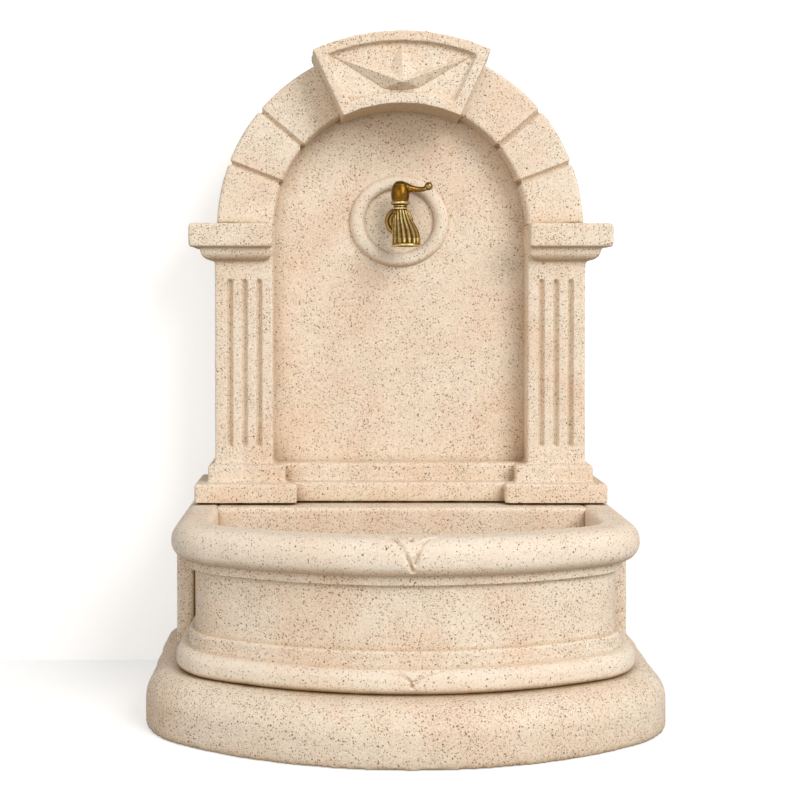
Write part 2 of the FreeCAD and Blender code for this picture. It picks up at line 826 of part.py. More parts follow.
def tap_body():
    """One casting: threaded tail, barrel, valve chest and bell spout."""
    shoulder = TAIL_END + " - tap_reach + 4.5"
    inlet = turned(
        "tap_inlet",
        [
            ("0", "0"),
            ("tail_radius", "0"),
            ("tail_radius", shoulder),
            ("tail_radius + 2.6", shoulder),
            ("tail_radius + 2.6", shoulder + " + 3"),
            ("tail_radius - 0.4", shoulder + " + 5.5"),
            ("tail_radius - 0.4", TAIL_END),
            ("0", TAIL_END),
        ],
    )
    chest = turned(
        "tap_chest", [("0", "-14"), ("9", "-14"), ("12", "-10"), ("12", NECK_TOP), ("0", NECK_TOP)]
    )
    outside = [facing(inlet, OUTWARD, TAIL_END), chest, bell("tap_bell", "0", 0)]
    way_in = turned(
        "tap_way_in",
        [("0", "-1"), ("6", "-1"), ("6", TAIL_END + " - 13"), ("0", TAIL_END + " - 13")],
    )
    chamber = turned(
        "tap_chamber",
        [
            ("0", "-11"),
            ("4", "-11"),
            ("4", SEAT),
            ("9", SEAT),
            ("9", NECK_TOP + " + 1"),
            ("0", NECK_TOP + " + 1"),
        ],
    )
    inside = [
        facing(way_in, OUTWARD, TAIL_END),
        chamber,
        drilled("tap_passage_in", "2.6", "14", "14.5", "-4.5", 110),
        drilled("tap_passage_out", "3.2", "26", "-9", SEAT + " + 14", 160),
        bell("tap_bell_hollow", "1.8", 2),
    ]
    return cut("tap_casting", fuse("tap_outside", outside), fuse("tap_inside", inside))


def tap_flange():
    rim = "tail_radius + running"
    return turned(
        "flange_disc",
        [
            (rim, "0"),
            ("23", "0"),
            ("23", "1.2"),
            ("20.5", "2.6"),
            ("17", "3"),
            ("14.5", "4.5"),
            (rim, "4.5"),
        ],
    )


def headwork_body():
    shell = turned(
        "headwork_shell",
        [
            ("7.5", SEAT + " + 2.5"),
            ("8.95", SEAT + " + 2.5"),
            ("8.95", NECK_TOP + " + 1"),
            ("11", NECK_TOP + " + 1"),
            ("11", NECK_TOP + " + 5"),
            ("6.5", NECK_TOP + " + 5"),
            ("6.5", NECK_TOP + " + 11"),
            (BORE, NECK_TOP + " + 11"),
            (BORE, SEAT + " + 18.1"),
            ("7.5", SEAT + " + 18.1"),
        ],
    )
    window = rod("headwork_window", "2.6", "0", "0", SEAT + " + 14", "12", "out")
    return cut("headwork_casting", shell, window)


def ported(name, low, high):
    """A ceramic disc with two round ports."""
    disc = turned(name + "_ceramic", [("0", low), ("7.4", low), ("7.4", high), ("0", high)])
    ports = [
        rod("%s_port_%d" % (name, side), "2.1", "%d * 3.6" % (2 * side - 3), "0", low + " - 1", "5", "up")
        for side in (1, 2)
    ]
    return cut(name + "_ported", disc, fuse(name + "_ports", ports))


def spindle():
    groove = SEAT + " + 22"
    return turned(
        "spindle_rod",
        [
            ("0", SEAT + " + 8.5"),
            ("6.2", SEAT + " + 8.5"),
            ("6.2", SEAT + " + 12"),
            ("spindle_radius", SEAT + " + 12"),
            ("spindle_radius", SEAT + " + 16"),
            ("7.4", SEAT + " + 16"),
            ("7.4", SEAT + " + 18"),
            ("spindle_radius", SEAT + " + 18"),
            ("spindle_radius", groove),
            ("spindle_radius - 1", groove),
            ("spindle_radius - 1", groove + " + 1.8"),
            ("spindle_radius", groove + " + 1.8"),
            ("spindle_radius", SPINDLE_TOP),
            ("0", SPINDLE_TOP),
        ],
    )


def spindle_o_ring():
    groove = SEAT + " + 22"
    return turned("o_ring", ring("spindle_radius - 1", "spindle_radius", groove, groove + " + 1.8"))


def lever_handle():
    """One casting: collar, domed hub, and the lever with its ball end."""
    hub = turned(
        "handle_hub",
        [
            ("0", GRIP),
            ("13.4", GRIP),
            ("15.6", GRIP + " + 2"),
            ("15.6", GRIP + " + 4.6"),
            ("13.4", GRIP + " + 7"),
            ("13.6", GRIP + " + 14"),
            ("12.4", GRIP + " + 28"),
            ("8", GRIP + " + 35.5"),
            ("0", GRIP + " + 38.6"),
        ],
    )
    rows = ((2, 28, 8.5), (14, 28.4, 6.2), (24, 27, 3.9), (33, 26.4, 3), (41, 28.6, 3.3))
    lever = lofted(
        "handle_lever", [(x, "0", "%s + %s" % (GRIP, rise), radius, 90, 90) for x, rise, radius in rows]
    )
    ball = doc.addObject("Part::Sphere", "handle_ball")
    ball.Radius = 6.4
    ball.Placement.Base.x = 46
    ball.setExpression(".Placement.Base.z", bound(GRIP + " + 29.6"))
    hollow = turned(
        "handle_hollow",
        [
            ("0", GRIP + " - 1"),
            ("12.2", GRIP + " - 1"),
            ("12.2", GRIP + " + 6"),
            ("8", GRIP + " + 13"),
            (BORE, GRIP + " + 13"),
            (BORE, SPINDLE_TOP + " + 0.1"),
            ("0", SPINDLE_TOP + " + 0.1"),
        ],
    )
    inside = [hollow, drilled("handle_screw_way", "2 + running", "17", "3", SCREW_LEVEL, -90)]
    return cut("handle_casting", fuse("handle_outside", [hub, lever, ball]), fuse("handle_inside", inside))


def handle_screw():
    return turned("screw_pin", [("0", "0"), ("2", "0"), ("2", "8.6"), ("0", "8.6")])


def nut(name, across, low, high, bores):
    """A hexagon nut with round bores, each (radius, low, high)."""
    hexagon = doc.addObject("Part::Prism", name + "_hexagon")
    hexagon.Polygon = 6
    hexagon.setExpression("Circumradius", bound("(%s) / 2 / cos(30)" % across))
    hexagon.setExpression("Height", bound("(%s) - (%s)" % (high, low)))
    hexagon.setExpression(".Placement.Base.z", bound(low))
    tools = [
        rod("%s_bore_%d" % (name, i), radius, "0", "0", start, "(%s) - (%s)" % (stop, start), "up")
        for i, (radius, start, stop) in enumerate(bores)
    ]
    return cut(name, hexagon, fuse(name + "_bores", tools) if len(tools) > 1 else tools[0])


# Supply behind the panel. The elbow's pieces are drawn from its middle.


def inlet_elbow():
    """A brass elbow: a socket for the tap's tail and an arm down to the supply pipe."""
    tail = "tail_radius + running"
    socket = turned("elbow_socket", [("0", "0"), ("13", "0"), ("13", "11.5"), ("0", "11.5")])
    knee = doc.addObject("Part::Sphere", "elbow_knee")
    knee.Radius = 12.6
    arm = turned("elbow_arm", [("0", "-22"), ("10.4", "-22"), ("10.4", "0"), ("0", "0")])
    bore = turned(
        "elbow_bore",
        [("0", "0"), ("6", "0"), ("6", "1"), (tail, "1"), (tail, "14"), ("0", "14")],
    )
    pipe = "pipe_radius + running"
    down = turned(
        "elbow_down", [("0", "-23"), (pipe, "-23"), (pipe, "-12"), ("6", "-12"), ("6", "0"), ("0", "0")]
    )
    outside = [facing(socket, OUTWARD, "0"), knee, arm]
    inside = [facing(bore, OUTWARD, "0"), down]
    return cut("elbow_casting", fuse("elbow_outside", outside), fuse("elbow_inside", inside))


def supply_pipe():
    return turned("pipe_tube", ring("pipe_radius - 1", "pipe_radius", "union_low + 22", "tap_high - 12"))


def inlet_union():
    """Soldered to the foot of the pipe: a hexagon with a male G1/2 end that points down."""
    hexagon = doc.addObject("Part::Prism", "union_hexagon")
    hexagon.Polygon = 6
    hexagon.setExpression("Circumradius", bound("12 / cos(30)"))
    hexagon.Height = 9
    hexagon.Placement.Base.z = 16
    barrel = turned(
        "union_barrel",
        [
            ("0", "0"),
            ("tail_radius", "0"),
            ("tail_radius", "16"),
            ("tail_radius - 1", "16"),
            ("pipe_radius + 1.6", "25"),
            ("pipe_radius + 1.6", "36"),
            ("0", "36"),
        ],
    )
    bore = turned(
        "union_bore",
        [
            ("0", "-1"),
            ("pipe_radius - 1.5", "-1"),
            ("pipe_radius - 1.5", "22"),
            ("pipe_radius + running", "22"),
            ("pipe_radius + running", "37"),
            ("0", "37"),
        ],
    )
    return cut("union_casting", fuse("union_outside", [hexagon, barrel]), bore)


def pipe_clips():
    """Two clips that hold the pipe off the panel's chase: a collar and its foot."""
    pieces = []
    for name, level in (("lower", 430), ("upper", 640)):
        collar = turned(
            "clip_collar_" + name,
            ring("pipe_radius + running", "pipe_radius + 1.8", level, level + 12),
        )
        reach = ("pipe_radius + 0.6", "chase_deep - pipe_back")
        foot = block("clip_foot_" + name, "-4", "4", reach[0], reach[1], level, level + 12)
        pieces.append(fuse("clip_" + name, [collar, foot]))
    return fuse("clip_pair", pieces)


# Waste in the basin floor, drawn from the top of the floor


def waste_body():
    spigot = "waste_radius - spigot_step"
    return turned(
        "waste_casting",
        [
            ("waste_radius - 2.9", "-72"),
            (spigot, "-72"),
            (spigot, "-40"),
            ("waste_radius", "-38"),
            ("waste_radius", "1.5"),
            ("waste_radius + 11", "1.5"),
            ("waste_radius + 11", "3"),
            ("waste_radius + 8.6", "5"),
            ("waste_radius + 1.4", "5"),
            ("waste_radius + 1.4", "3.2"),
            ("waste_radius - 2.9", "3.2"),
        ],
    )


def waste_plug():
    stem = "waste_radius - 2.95"
    return turned(
        "plug_body",
        [
            ("0", "-7"),
            (stem, "-7"),
            (stem, "-4"),
            (stem + " - 1.75", "-4"),
            (stem + " - 1.75", "-1.2"),
            (stem, "-1.2"),
            (stem, "3.2"),
            ("waste_radius + 1.1", "3.2"),
            ("waste_radius + 1.1", "5.2"),
            ("waste_radius - 2", "6.4"),
            ("3", "7"),
            ("3", "13"),
            ("5", "16"),
            ("5", "18.5"),
            ("3", "21"),
            ("0", "21.6"),
        ],
    )


def plug_seal():
    return turned("seal_ring", ring("waste_radius - 4.7", "waste_radius - 2.95", "-4", "-1.2"))


# The pieces, each with the point of the assembly that it is drawn from

DISC = SEAT + " + 2.5"
PIECES = (
    ("base_slab", base_slab, "0", "0", None),
    ("basin", basin, "0", "0", None),
    ("back_panel", back_panel, "0", "0", None),
    ("panel_dowels", panel_dowels, "0", "0", None),
    ("tap_flange", tap_flange, "slab_thick", "tap_high", OUTWARD),
    ("tap_body", tap_body, AXIS, "tap_high", None),
    (
        "disc_seal",
        lambda: turned("seat_ring", ring("4.5", "8.9", SEAT, DISC)),
        AXIS,
        "tap_high",
        None,
    ),
    ("fixed_disc", lambda: ported("fixed", DISC, DISC + " + 3"), AXIS, "tap_high", None),
    ("turning_disc", lambda: ported("turning", DISC + " + 3", DISC + " + 6"), AXIS, "tap_high", None),
    ("headwork_body", headwork_body, AXIS, "tap_high", None),
    (
        "headwork_gasket",
        lambda: turned("headwork_ring", ring("9", "11", NECK_TOP, NECK_TOP + " + 1")),
        AXIS,
        "tap_high",
        None,
    ),
    ("spindle", spindle, AXIS, "tap_high", None),
    ("spindle_o_ring", spindle_o_ring, AXIS, "tap_high", None),
    ("lever_handle", lever_handle, AXIS, "tap_high", None),
    ("handle_screw", handle_screw, AXIS + " - spindle_radius - running", "tap_high + " + SCREW_LEVEL, INWARD),
    (
        "fibre_washer",
        lambda: turned("fibre_ring", ring("tail_radius + 0.1", "16", "0", "1.5")),
        "chase_deep - 1.5",
        "tap_high",
        OUTWARD,
    ),
    (
        "back_washer",
        lambda: turned("washer_ring", ring("tail_radius + 0.1", "17", "0", "1.5")),
        "chase_deep - 3",
        "tap_high",
        OUTWARD,
    ),
    (
        "back_nut",
        lambda: nut("tail_nut", "27", "0", "6", [("tail_radius + running", "-1", "7")]),
        "chase_deep - 9",
        "tap_high",
        OUTWARD,
    ),
    ("inlet_elbow", inlet_elbow, "pipe_back", "tap_high", None),
    (
        "pipe_olive",
        lambda: turned("olive_ring", ring("pipe_radius + running", "10", "-26", "-22")),
        "pipe_back",
        "tap_high",
        None,
    ),
    (
        "pipe_nut",
        lambda: nut(
            "compression_nut",
            "24",
            "-32",
            "-15",
            [("pipe_radius + running", "-33", "-20"), ("10.4 + running", "-26", "-14")],
        ),
        "pipe_back",
        "tap_high",
        None,
    ),
    ("supply_pipe", supply_pipe, "pipe_back", "0", None),
    ("inlet_union", inlet_union, "pipe_back", "union_low", None),
    ("pipe_clips", pipe_clips, "pipe_back", "0", None),
    ("waste_body", waste_body, "waste_back", FLOOR, None),
    (
        "waste_gasket_top",
        lambda: turned("gasket_top_ring", ring("waste_radius + running", "waste_radius + 10", "0", "1.5")),
        "waste_back",
        FLOOR,
        None,
    ),
    (
        "waste_gasket_under",
        lambda: turned("gasket_under_ring", ring("waste_radius + running", "33", "-24.5", "-22")),
        "waste_back",
        FLOOR,
        None,
    ),
    (
        "waste_nut",
        lambda: nut("waste_hexagon_nut", "58", "-34.5", "-24.5", [("waste_radius + running", "-36", "-23")]),
        "waste_back",
        FLOOR,
        None,
    ),
    ("waste_plug", waste_plug, "waste_back", FLOOR, None),
    ("plug_seal", plug_seal, "waste_back", FLOOR, None),
)
for label, make, back, z, turn in PIECES:
    place(node(make(), label), "0", back, z, turn)
doc.recompute()

failed = [
    "%s %s" % (item.Name, item.State)
    for item in doc.Objects
    if any(word in ("Invalid", "Error") for word in item.State)
]
if failed:
    raise RuntimeError("failed objects: " + ", ".join(failed))
os.makedirs("parts", exist_ok=True)
for item in NODES:
    if item.Shape.isNull() or not item.Shape.isValid():
        raise RuntimeError("bad shape: " + item.Label)
    print(item.Label, len(item.Shape.Solids), round(item.Shape.Volume / 1000, 2))
    item.Shape.exportStep("parts/%s.step" % item.Label)
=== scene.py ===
"""Looks of a garden wall fountain: cast stone base, basin and arched back panel, brass lever tap.

The pieces stand on a fixed frame that is loaded first, and every one of them stays where the
frame has the part that it stands for.
"""

import math

import bmesh
import bpy
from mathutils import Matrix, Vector


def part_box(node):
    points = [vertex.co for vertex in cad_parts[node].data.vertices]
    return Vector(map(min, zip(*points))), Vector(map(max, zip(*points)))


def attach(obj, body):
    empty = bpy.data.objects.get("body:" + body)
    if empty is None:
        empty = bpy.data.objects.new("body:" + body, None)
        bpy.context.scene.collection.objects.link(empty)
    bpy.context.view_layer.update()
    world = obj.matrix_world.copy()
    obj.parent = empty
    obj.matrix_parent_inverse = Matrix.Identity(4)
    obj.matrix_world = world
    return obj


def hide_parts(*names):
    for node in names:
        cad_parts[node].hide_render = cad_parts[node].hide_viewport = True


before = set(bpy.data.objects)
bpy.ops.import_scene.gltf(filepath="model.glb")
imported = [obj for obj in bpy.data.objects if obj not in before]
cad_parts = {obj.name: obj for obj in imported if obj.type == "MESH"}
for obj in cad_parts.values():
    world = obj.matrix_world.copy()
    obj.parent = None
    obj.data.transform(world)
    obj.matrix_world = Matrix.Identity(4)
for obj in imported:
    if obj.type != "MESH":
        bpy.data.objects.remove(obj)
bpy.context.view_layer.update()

bl_info = {
    "name": "Garden wall fountain",
    "version": (1, 0, 0),
    "blender": (4, 5, 0),
    "location": "3D View > Sidebar > Fountain",
    "description": "Builds the stone and brass pieces of a garden wall fountain",
    "category": "Add Mesh",
}

MM = 0.001
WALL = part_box("back_panel")[1].y

# Degrees over level at which the arch starts
ARCH_START = 1.6

# Levels and places that several pieces share, in millimetres
BASE_TOP = 82
LEDGE = 296
ARCH_CENTRE = 734
FIELD_AHEAD = 47
PILASTER_FRONT = 95
TAP_AHEAD = 92
TAP_LEVEL = 748
CHASE_HALF = 22
CHASE_DEEP = 34
CHASE = [(CHASE_HALF, 0), (CHASE_HALF, CHASE_DEEP), (-CHASE_HALF, CHASE_DEEP), (-CHASE_HALF, 0)]


# Colours


def linear(hex_colour):
    """The linear values of an sRGB colour that is written as six hex digits."""
    values = [int(hex_colour[i : i + 2], 16) / 255 for i in (0, 2, 4)]
    return [v / 12.92 if v <= 0.04045 else ((v + 0.055) / 1.055) ** 2.4 for v in values]


def colour_property(name, description, hex_colour):
    return bpy.props.FloatVectorProperty(
        name=name,
        description=description,
        subtype="COLOR",
        min=0,
        max=1,
        default=linear(hex_colour),
    )


def length_property(name, description, millimetres):
    return bpy.props.FloatProperty(
        name=name, description=description, unit="LENGTH", min=0, default=millimetres * MM
    )


class FountainSizes(bpy.types.PropertyGroup):
    coarse_cell: length_property("Coarse cell", "Mesh cell of the large castings", 4.2)
    base_cell: length_property("Base cell", "Mesh cell of the base slab", 3.4)
    fine_cell: length_property("Fine cell", "Mesh cell of the mouldings and carved pieces", 2.1)
    ring_cell: length_property("Ring cell", "Mesh cell of the stone ring round the tap", 1.8)
    star_cell: length_property("Star cell", "Mesh cell of the keystone's star", 1.2)
    tap_cell: length_property("Tap cell", "Mesh cell of the tap's casting", 0.56)
    lever_cell: length_property("Lever cell", "Mesh cell of the lever handle", 0.5)
    wave_deep: length_property("Unevenness", "Depth of the hand-made unevenness of the stone", 1)
    wave_long: length_property("Unevenness size", "Distance from one hump to the next", 26)
    edge_round: length_property("Edge rounding", "Rounding of the stone blocks' edges", 5)
    joint_half: length_property("Joint", "Half the width of the grooves between the arch stones", 5.5)
    joint_deep: length_property("Joint depth", "Depth of the grooves between the arch stones", 7)
    flute_half: length_property("Flute", "Half the width of a flute in a pilaster", 5.4)
    flute_deep: length_property("Flute depth", "Depth of a flute in a pilaster", 8)
    leaf_half: length_property("Leaf line", "Half the width of the line round a carved leaf", 4.2)
    leaf_deep: length_property("Leaf line depth", "Depth of the line round a carved leaf", 6.5)
    border: length_property("Keystone border", "Width of the keystone's raised border", 16)
    splay: length_property("Border splay", "Width of the slope from the border down to the field", 5)
    sunk: length_property("Keystone field", "Depth of the keystone's sunk field", 9)
    star_high: length_property("Star", "Height of the star's middle above the sunk field", 17)
    bed_gap: length_property("Bed joint", "Open joint between the basin and the panel on it", 1.4)
    bell_wall: length_property("Bell wall", "Thickness of the brass spout's bell", 1.6)
    ribs: bpy.props.IntProperty(
        name="Ribs", description="Number of ribs round the bell", min=6, max=24, default=16
    )


class FountainColours(bpy.types.PropertyGroup):
    stone: colour_property("Stone", "Pale cream of the cast stone", "F7E8D5")
    stone_warm: colour_property("Warm stone", "Pinkish patches in the stone", "F3DCC5")
    stone_green: colour_property("Grey stone", "Greyish patches in the stone", "EFE2CB")
    # Ochre of the staining in recesses, also used as painted shade in recesses, creases and on faces that
    # look down
    stone_deep: colour_property("Recess", "Ochre that gathers in the recesses", "9F7D45")
    # Pale stone of rubbed edges and bands, also used as a painted highlight along convex edges
    stone_edge: colour_property("Edge", "Paler stone along rubbed edges", "FBF1E3")
    speck: colour_property("Speck", "Brown grains in the stone", "8A6B4C")
    speck_dark: colour_property("Dark speck", "Darkest grains in the stone", "4E3A27")
    # Also used as a painted highlight on the ribs and on faces that look up
    brass: colour_property("Brass", "Brass where it is rubbed bright", "F0DC9C")
    brass_film: colour_property("Brass film", "Golden brown film on the open faces", "72501A")
    # Tarnished brass colour, also used as painted shade in folds and under the collar and handle
    brass_tarnish_and_shade: colour_property("Brass folds", "Dark brown tarnish in the folds", "231405")


def sizes():
    return bpy.context.scene.fountain_sizes


def colours():
    return bpy.context.scene.fountain_colours


# Modelling


def spot(x, ahead, up):
    """A place, from millimetres right of the middle, ahead of the wall and above the ground."""
    return Vector((x * MM, WALL - ahead * MM, up * MM))


def let_go():
    """Leaves edit mode and deselects everything, the frame's own nodes too."""
    if bpy.context.mode != "OBJECT":
        bpy.ops.object.mode_set(mode="OBJECT")
    bpy.ops.object.select_all(action="DESELECT")


def take(item):
    """Makes one object the active and only selected one."""
    let_go()
    item.select_set(True)
    bpy.context.view_layer.objects.active = item
    return item


def named(name):
    item = bpy.context.active_object
    item.name = name
    item.data.name = name
    return item


def settled(name):
    """Names the object just made, and takes its place, turn and size into its mesh."""
    bpy.ops.object.transform_apply(location=True, rotation=True, scale=True)
    return named(name)


def arc(x, y, radius, start, end, steps):
    """Corners along an arc, angles in degrees."""
    turns = [math.radians(start + (end - start) * i / steps) for i in range(steps + 1)]
    return [(x + radius * math.cos(t), y + radius * math.sin(t)) for t in turns]


def draw(name, corners):
    """Draws a closed outline from one vertex, corner by corner, and fills it. It stays in edit mode."""
    let_go()
    bpy.ops.mesh.primitive_plane_add(size=MM)
    item = named(name)
    bpy.ops.object.mode_set(mode="EDIT")
    bpy.ops.mesh.select_mode(type="VERT")
    bpy.ops.mesh.select_all(action="SELECT")
    bpy.ops.mesh.merge(type="CENTER")
    bpy.ops.transform.translate(value=corners[0])
    for here, there in zip(corners, corners[1:]):
        pull(there - here)
    bpy.ops.mesh.select_all(action="SELECT")
    bpy.ops.mesh.edge_face_add()
    return item


def pull(move):
    bpy.ops.mesh.extrude_region_move(TRANSFORM_OT_translate={"value": move})


def pick(item, kind, test):
    """In edit mode, selects the vertices, edges or faces whose middle and normal pass the test."""
    bpy.ops.mesh.select_mode(type=kind)
    bpy.ops.mesh.select_all(action="DESELECT")
    mesh = bmesh.from_edit_mesh(item.data)
    for part in {"VERT": mesh.verts, "EDGE": mesh.edges, "FACE": mesh.faces}[kind]:
        if kind == "VERT":
            middle, normal = part.co, part.normal
        elif kind == "EDGE":
            middle = (part.verts[0].co + part.verts[1].co) / 2
            normal = (part.verts[0].co - part.verts[1].co).normalized()
        else:
            middle, normal = part.calc_center_median(), part.normal
        part.select_set(bool(test(middle, normal)))
    mesh.select_flush_mode()
    bmesh.update_edit_mesh(item.data)


def edit(item):
    take(item)
    bpy.ops.object.mode_set(mode="EDIT")
    return item


def open_up(item):
    """Puts a piece in edit mode with all of it selected."""
    edit(item)
    bpy.ops.mesh.select_all(action="SELECT")


def close_up(item):
    """Merges doubled vertices, turns all faces outwards and leaves edit mode."""
    open_up(item)
    bpy.ops.mesh.remove_doubles(threshold=0.02 * MM)
    bpy.ops.mesh.normals_make_consistent(inside=False)
    return take(item)


def join(name, items):
    take(items[0])
    for item in items:
        item.select_set(True)
    bpy.ops.object.join()
    return named(name)


def mirror(item, name):
    """A copy of a finished piece on the other side of the middle."""
    take(item)
    bpy.ops.object.duplicate()
    twin = named(name)
    open_up(twin)
    bpy.ops.transform.resize(value=(-1, 1, 1), center_override=(0, 0, 0))
    return close_up(twin)


def tilt(degrees, middle):
    """In edit mode, leans what is selected forward about a line from left to right."""
    bpy.ops.transform.rotate(value=math.radians(-degrees), orient_axis="X", center_override=middle)


def smooth(item):
    take(item)
    bpy.ops.object.shade_smooth()
    return item


def modify(item, kind, **values):
    """Adds a modifier with its values and applies it."""
    take(item)
    modifier = item.modifiers.new(kind.lower(), kind)
    for name, value in values.items():
        setattr(modifier, name, value)
    bpy.ops.object.modifier_apply(modifier=modifier.name)
    return item


def cut(item, tool):
    modify(item, "BOOLEAN", operation="DIFFERENCE", solver="EXACT", object=tool)
    bpy.data.objects.remove(tool)
    return item


def block(name, left, right, back, ahead, low, high, rounding=0, test=None):
    """A cube set to its size and place, with its edges rounded, or those that pass a test."""
    let_go()
    size = Vector((right - left, ahead - back, high - low)) * MM
    middle = spot((left + right) / 2, (back + ahead) / 2, (low + high) / 2)
    bpy.ops.mesh.primitive_cube_add(size=1, location=middle, scale=size)
    item = settled(name)
    if rounding:
        pick(edit(item), "EDGE", test or (lambda middle, along: True))
        bpy.ops.mesh.bevel(offset=rounding, segments=5, affect="EDGES")
    let_go()
    return item


def turned(name, profile, x, ahead, base, steps=48):
    """A profile of (radius, height) corners spun about an upright line through x and ahead."""
    item = draw(name, [spot(x + radius, ahead, base + height) for radius, height in profile])
    bpy.ops.mesh.spin(steps=steps, angle=math.tau, center=spot(x, ahead, base), axis=(0, 0, 1))
    return close_up(item)


def turned_outwards(name, profile, x, up, steps=48):
    """A profile of (radius, ahead) corners spun about a line that comes straight out of the wall."""
    item = draw(name, [spot(x + radius, ahead, up) for radius, ahead in profile])
    bpy.ops.mesh.spin(steps=steps, angle=math.tau, center=spot(x, 0, up), axis=(0, 1, 0))
    return close_up(item)


def bow_middles(half, front, bow, corner):
    """Of a bow-fronted plan: how far out and ahead its corners' middles lie, how far ahead the bow's
    middle lies, and the angle of half the bow."""
    hub, reach, side = front - bow, bow - corner, half - corner
    return side, hub + math.sqrt(reach**2 - side**2), hub, math.asin(side / reach)


def bow_plan(half, front, bow, corner, back=0):
    """Corners (x, ahead) of the bow-fronted plan, from the left end at the wall to the right."""
    side, ahead, hub, lean = bow_middles(half, front, bow, corner)
    lean = math.degrees(lean)
    plan = [(-half, back)]
    plan += arc(-side, ahead, corner, 180, 90 + lean, 10)
    plan += arc(0, hub, bow, 90 + lean, 90 - lean, 24)[1:-1]
    plan += arc(side, ahead, corner, 90 - lean, 0, 10)
    return plan + [(half, back)]


def slab(name, plan, low, high):
    """A plan drawn flat and pulled up."""
    item = draw(name, [spot(x, ahead, low) for x, ahead in plan])
    pull((0, 0, (high - low) * MM))
    return close_up(item)


def evened(profile, step):
    """The same profile with more corners, so that no edge of it is longer than the step."""
    corners = []
    for (x, y), (u, v) in zip(profile, profile[1:] + profile[:1]):
        parts = max(1, math.ceil(math.hypot(u - x, v - y) / step))
        corners += [(x + (u - x) * i / parts, y + (v - y) * i / parts) for i in range(parts)]
    return corners


def sweep(name, profile, half, front, bow, corner, step):
    """A profile of (out, up) corners swept along the bow-fronted plan from wall to wall."""
    side, ahead, hub, lean = bow_middles(half, front, bow, corner)
    straight = round(ahead / step)
    item = draw(name, [spot(-half - out, 0, up) for out, up in evened(profile, step)])
    for _ in range(straight):
        pull((0, -ahead * MM / straight, 0))
    for x, y, angle, radius in (
        (-side, ahead, math.pi / 2 - lean, corner),
        (0, hub, 2 * lean, bow),
        (side, ahead, math.pi / 2 - lean, corner),
    ):
        steps = round(angle * radius / step)
        bpy.ops.mesh.spin(steps=steps, angle=angle, center=spot(x, y, 0), axis=(0, 0, -1))
    for _ in range(straight):
        pull((0, ahead * MM / straight, 0))
    return close_up(item)


# Cast stone


def weathered(item):
    """Makes a piece as uneven as cast and rubbed stone: slow humps and small dents, both inwards."""
    long, deep = sizes().wave_long, sizes().wave_deep
    for apart, depth in ((long, deep), (long / 4, deep / 4)):
        clouds = bpy.data.textures.new("stone waves", "CLOUDS")
        clouds.noise_scale = apart
        clouds.noise_depth = 1
        modify(item, "DISPLACE", texture=clouds, texture_coords="LOCAL", strength=depth, mid_level=1)
    return smooth(item)


def fused(item, cell):
    return modify(item, "REMESH", mode="VOXEL", voxel_size=cell)


def softened(item, cell, relax):
    """Fuses a piece to one skin and softens its edges as casting does."""
    return modify(fused(item, cell), "SMOOTH", factor=0.5, iterations=relax)


def cast(item, cell, relax=2):
    """A softened piece made uneven."""
    return weathered(softened(item, cell, relax))


def near(point, line):
    """The distance from a point to a line of several points."""
    best = math.inf
    for start, end in zip(line, line[1:]):
        run = end - start
        along = max(0.0, min(1.0, (point - start).dot(run) / run.length_squared))
        best = min(best, (point - start - run * along).length)
    return best


def carve(item, lines, half, deep, sharp=1.0, cuts=2):
    """Makes the mesh finer along some lines and sinks a groove there: a V where sharp is 1, blunter
    where it is less."""
    finer = 1.7 * half
    for line in lines:
        line = [spot(*corner) for corner in line]
        low = [min(point[i] for point in line) - 2 * half for i in range(3)]
        high = [max(point[i] for point in line) + 2 * half for i in range(3)]

        def close(point, reach):
            return all(low[i] < point[i] < high[i] for i in range(3)) and near(point, line) < reach

        pick(edit(item), "FACE", lambda middle, normal: close(middle, finer))
        bpy.ops.mesh.subdivide(number_cuts=cuts, smoothness=0)
        let_go()
        group = item.vertex_groups.new(name="groove")
        for vertex in item.data.vertices:
            if close(vertex.co, half):
                group.add([vertex.index], (1 - near(vertex.co, line) / half) ** sharp, "REPLACE")
        modify(item, "DISPLACE", vertex_group=group.name, strength=-deep, mid_level=0)
        item.vertex_groups.clear()
    return item


def bed():
    """The level of the panel's underside, over the open bed joint."""
    return LEDGE + sizes().bed_gap / MM


def all_but_bed(middle, along):
    """Passes the edges that are rounded on a block that stands on the ledge."""
    return middle.z > (bed() + 0.1) * MM


def stone_piece(item, node, bands=()):
    """Gives a finished stone piece its material and its body, and hides the node that it stands for."""
    name = "rubbed_limestone" if bands else "cast_limestone"
    item.data.materials.clear()
    item.data.materials.append(finish(name, cast_limestone, bands))
    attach(item, "fountain")
    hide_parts(node)


